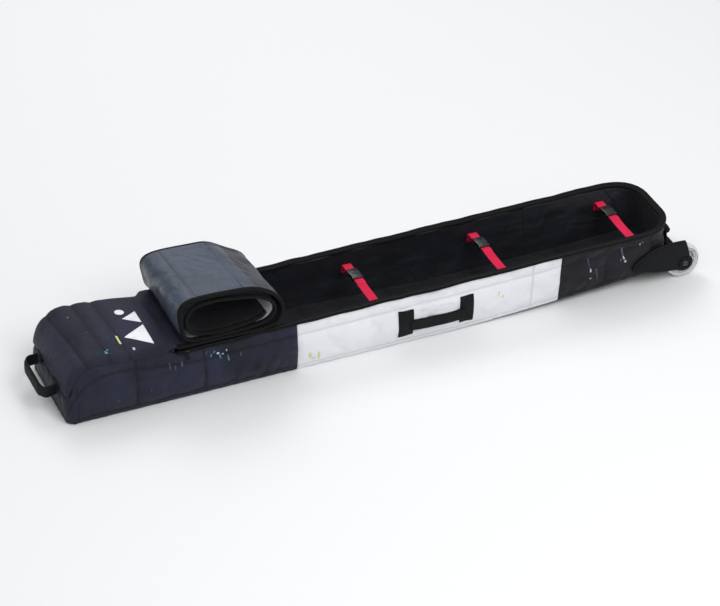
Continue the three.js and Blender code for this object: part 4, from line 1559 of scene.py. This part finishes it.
# ------------------------------------------------------------------ wheels and tail mouldings
def build_wheels():
    for name, side in SIDES.items():
        low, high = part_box(f"tyre_{name}")
        centre = (low + high) / 2
        radius = (high.x - low.x) / 2
        half = (high.y - low.y) / 2
        profile = [(0.0385, -half + 0.003), (0.041, -half + 0.001), (0.0435, -half)]
        for k in range(13):
            angle = math.pi * (k / 12 - 0.5)
            profile.append((radius - 0.0075 + 0.0075 * math.cos(angle), half * math.copysign(abs(math.sin(angle)) ** 0.8, math.sin(angle))))
        profile += [(0.0435, half), (0.041, half - 0.001), (0.0385, half - 0.003)]
        tyre = lathe(f"tyre ring {name}", profile, centre, "tyre", 96)
        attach(tyre, f"wheel_{name}")
        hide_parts(f"tyre_{name}")
        build_core(name, side, centre, half)
        for which in ("inner", "outer"):
            build_bearing(name, which, centre)


def build_core(name, side, centre, half):
    rim = [(0.0332, 0.004 - half), (0.038, 0.003 - half), (0.038, half - 0.003), (0.0332, half - 0.004)]
    web = [(0.0113, -0.003), (0.034, -0.003), (0.034, 0.003), (0.0113, 0.003)]
    boss = [(0.0113, 0.001 - half), (0.0165, 0.001 - half), (0.0175, 0.002 - half), (0.0175, half - 0.002), (0.0165, half - 0.001), (0.0113, half - 0.001)]
    parts = [lathe(f"wheel core {name}", rim, centre, "core", 72), lathe("core web", web, centre, "core", 72), lathe("core boss", boss, centre, "core", 48)]
    for k in range(6):
        angle = math.tau * k / 6
        along = Vector((math.cos(angle), 0, math.sin(angle)))
        square = Vector((-math.sin(angle), 0, math.cos(angle)))
        outline = [(0.0165, -0.0022), (0.0345, -0.0016), (0.0345, 0.0016), (0.0165, 0.0022)]
        place = lambda a, b, h: centre + along * a + square * b + Vector((0, h - half + 0.004, 0))
        parts.append(plate(f"core rib {k}", outline, 2 * half - 0.008, place, "core", 0.0007))
    piece = join(parts)
    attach(piece, f"wheel_{name}")
    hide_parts(f"wheel_hub_{name}")


def build_bearing(name, which, centre):
    low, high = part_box(f"bearing_{which}_{name}")
    low_y, high_y = low.y - centre.y, high.y - centre.y
    profile = [(0.0045, low_y), (0.0075, low_y), (0.0078, low_y + 0.0006), (0.0092, low_y + 0.0006), (0.0095, low_y), (0.011, low_y)]
    profile += [(0.011, high_y), (0.0095, high_y), (0.0092, high_y - 0.0006), (0.0078, high_y - 0.0006), (0.0075, high_y), (0.0045, high_y)]
    piece = lathe(f"{which} bearing {name}", profile, centre, "steel", 40)
    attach(piece, f"wheel_{name}")
    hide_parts(f"bearing_{which}_{name}")


def curve_points(start, control, end, count=10):
    start, control, end = Vector(start), Vector(control), Vector(end)
    return [tuple(start * (1 - t) ** 2 + control * 2 * t * (1 - t) + end * t**2) for t in (k / count for k in range(count))]


BOSS_RADIUS = 0.024


def fender_outline(inset=0.0):
    """The fender plate in X and Z: a low point on the bag's side, a boss at the axle and a square heel."""
    axle_x, axle_z = 0.935, 0.050
    points = [(0.774, 0.060), (0.790, 0.0555)]
    points += curve_points((0.807, 0.050), (0.862, 0.034), (0.905, 0.034))
    for k in range(17):
        angle = math.pi * mix(-0.7, 0.3, k / 16)
        points.append((axle_x + BOSS_RADIUS * math.cos(angle), axle_z + BOSS_RADIUS * math.sin(angle)))
    points += curve_points(points[-1], (0.943, 0.100), (0.934, 0.122))[1:]
    points += curve_points((0.934, 0.122), (0.880, 0.127), (0.840, 0.115))
    points += curve_points((0.840, 0.115), (0.806, 0.102), (0.776, 0.075))
    middle = Vector((0.872, 0.082))
    return [tuple(Vector(p) + (middle - Vector(p)) * inset) for p in points]


def build_tail_mouldings():
    for name, side in SIDES.items():
        low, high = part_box(f"fender_{name}")
        inner = side * min(abs(low.y), abs(high.y))
        place = lambda a, b, h: Vector((a, inner + side * h, b))
        body = plate(f"fender moulding {name}", fender_outline(), 0.006, place, "chassis", 0.0028)
        raised = plate("fender panel", fender_outline(0.16), 0.0012, lambda a, b, h: place(a, b, h + 0.0058), "chassis", 0.0005)
        ring = [(0.0095, 0.0), (0.0205, 0.0), (0.0195, 0.0035), (0.0105, 0.0035)]
        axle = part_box(f"axle_{name}")
        centre = (axle[0] + axle[1]) / 2
        centre.y = inner + side * 0.0058
        boss = lathe("fender boss", [(r, side * h) for r, h in ring], centre, "chassis", 48)
        screw_centre = Vector((0.792, inner + side * 0.0058, 0.070))
        screw = lathe("fender screw", [(0.0, side * 0.0015), (0.0042, side * 0.0015), (0.005, 0.0), (0.0, 0.0)], screw_centre, "chassis", 24)
        piece = join([body, raised, boss, screw])
        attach(piece, "shell")
        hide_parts(f"fender_{name}")
        build_axle(name, side, axle)
    build_chassis()


def build_axle(name, side, axle):
    low, high = axle
    centre = (low + high) / 2
    ends = sorted((low.y, high.y), key=abs)
    inner, head = ends[0] - centre.y, ends[1] - centre.y
    profile = [(0.0003, inner), (0.0038, inner), (0.0038, head - side * 0.004), (0.0088, head - side * 0.0038)]
    profile += [(0.0088, head - side * 0.0018), (0.0065, head - side * 0.0002), (0.0035, head), (0.0033, head - side * 0.002), (0.0003, head - side * 0.002)]
    piece = lathe(f"axle bolt {name}", profile, centre, "dark steel", 40)
    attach(piece, "shell")
    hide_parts(f"axle_{name}")


def build_chassis():
    low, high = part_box("wheel_chassis")
    back, front = high.x, high.x - 0.024
    outline = [(low.x, low.z), (back, low.z), (back, high.z), (front, high.z), (front, low.z + 0.012), (low.x, low.z + 0.011)]
    width = high.y - low.y
    body = plate("chassis moulding", outline, width, lambda a, b, h: Vector((a, low.y + h, b)), "chassis", 0.0035)
    ribs = []
    for k in range(9):
        y = mix(low.y + 0.012, high.y - 0.012, k / 8)
        rib = [(back - 0.001, low.z + 0.012), (back + 0.0022, low.z + 0.014), (back + 0.0022, high.z - 0.014), (back - 0.001, high.z - 0.012)]
        ribs.append(plate(f"chassis rib {k}", rib, 0.003, lambda a, b, h: Vector((a, y - 0.0015 + h, b)), "chassis", 0.0008))
    piece = join([body] + ribs)
    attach(piece, "shell")
    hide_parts("wheel_chassis")


# ------------------------------------------------------------------ studio
def build_studio():
    scene = bpy.context.scene
    floor = make_mesh("studio floor", [(-30, -30, -0.0006), (30, -30, -0.0006), (30, 30, -0.0006), (-30, 30, -0.0006)], [(0, 1, 2, 3)], [])
    pale = Shader("studio floor", 0.9)
    pale.surface.inputs["Base Color"].default_value = (0.9, 0.9, 0.9, 1)
    floor.data.materials.append(pale.material)
    world = bpy.data.worlds.new("studio")
    world.use_nodes = True
    sky = world.node_tree.nodes["Background"]
    sky.inputs["Color"].default_value = (0.95, 0.975, 1.0, 1)
    direction = world.node_tree.nodes.new("ShaderNodeTexCoord")
    parts = world.node_tree.nodes.new("ShaderNodeSeparateXYZ")
    height = world.node_tree.nodes.new("ShaderNodeMapRange")
    height.inputs["To Min"].default_value = 0.12
    height.inputs["To Max"].default_value = 0.86
    world.node_tree.links.new(direction.outputs["Generated"], parts.inputs[0])
    world.node_tree.links.new(parts.outputs["Z"], height.inputs["Value"])
    world.node_tree.links.new(height.outputs[0], sky.inputs["Strength"])
    scene.world = world
    for name, place, size, power in (
        ("key light", (0.3, -3.0, 3.8), 3.0, 88),
        ("fill light", (2.6, -3.0, 1.6), 3.0, 14),
        ("back light", (0.4, 3.0, 3.6), 2.5, 50),
    ):
        light = bpy.data.lights.new(name, "AREA")
        light.shape = "DISK"
        light.size = size
        light.energy = power
        lamp = bpy.data.objects.new(name, light)
        lamp.location = place
        lamp.rotation_euler = (Vector((0, 0, 0.1)) - Vector(place)).to_track_quat("-Z", "Y").to_euler()
        scene.collection.objects.link(lamp)
    scene.view_settings.view_transform = "Standard"


def build_camera():
    azimuth, elevation = math.radians(-22.311), math.radians(33.479)
    distance = 9.0
    target = Vector((0.03205, 0.0, 0.06983))
    level = math.cos(elevation)
    forward = Vector((-math.sin(azimuth) * level, math.cos(azimuth) * level, -math.sin(elevation)))
    camera = bpy.data.cameras.new("camera")
    camera.sensor_width = 36
    camera.lens = 169.4
    holder = bpy.data.objects.new("camera", camera)
    holder.location = target - forward * distance
    holder.rotation_euler = forward.to_track_quat("-Z", "Y").to_euler()
    bpy.context.scene.collection.objects.link(holder)
    bpy.context.scene.camera = holder


build_walls()
build_nose_end()
build_tail_end()
deck = build_deck()
build_lid()
build_hinge_fold()
build_rim()
build_floor()
build_straps()
build_side_handles()
build_nose_handle()
build_tail_handle()
build_sliders()
build_prints()
build_wheels()
build_tail_mouldings()
build_studio()
build_camera()
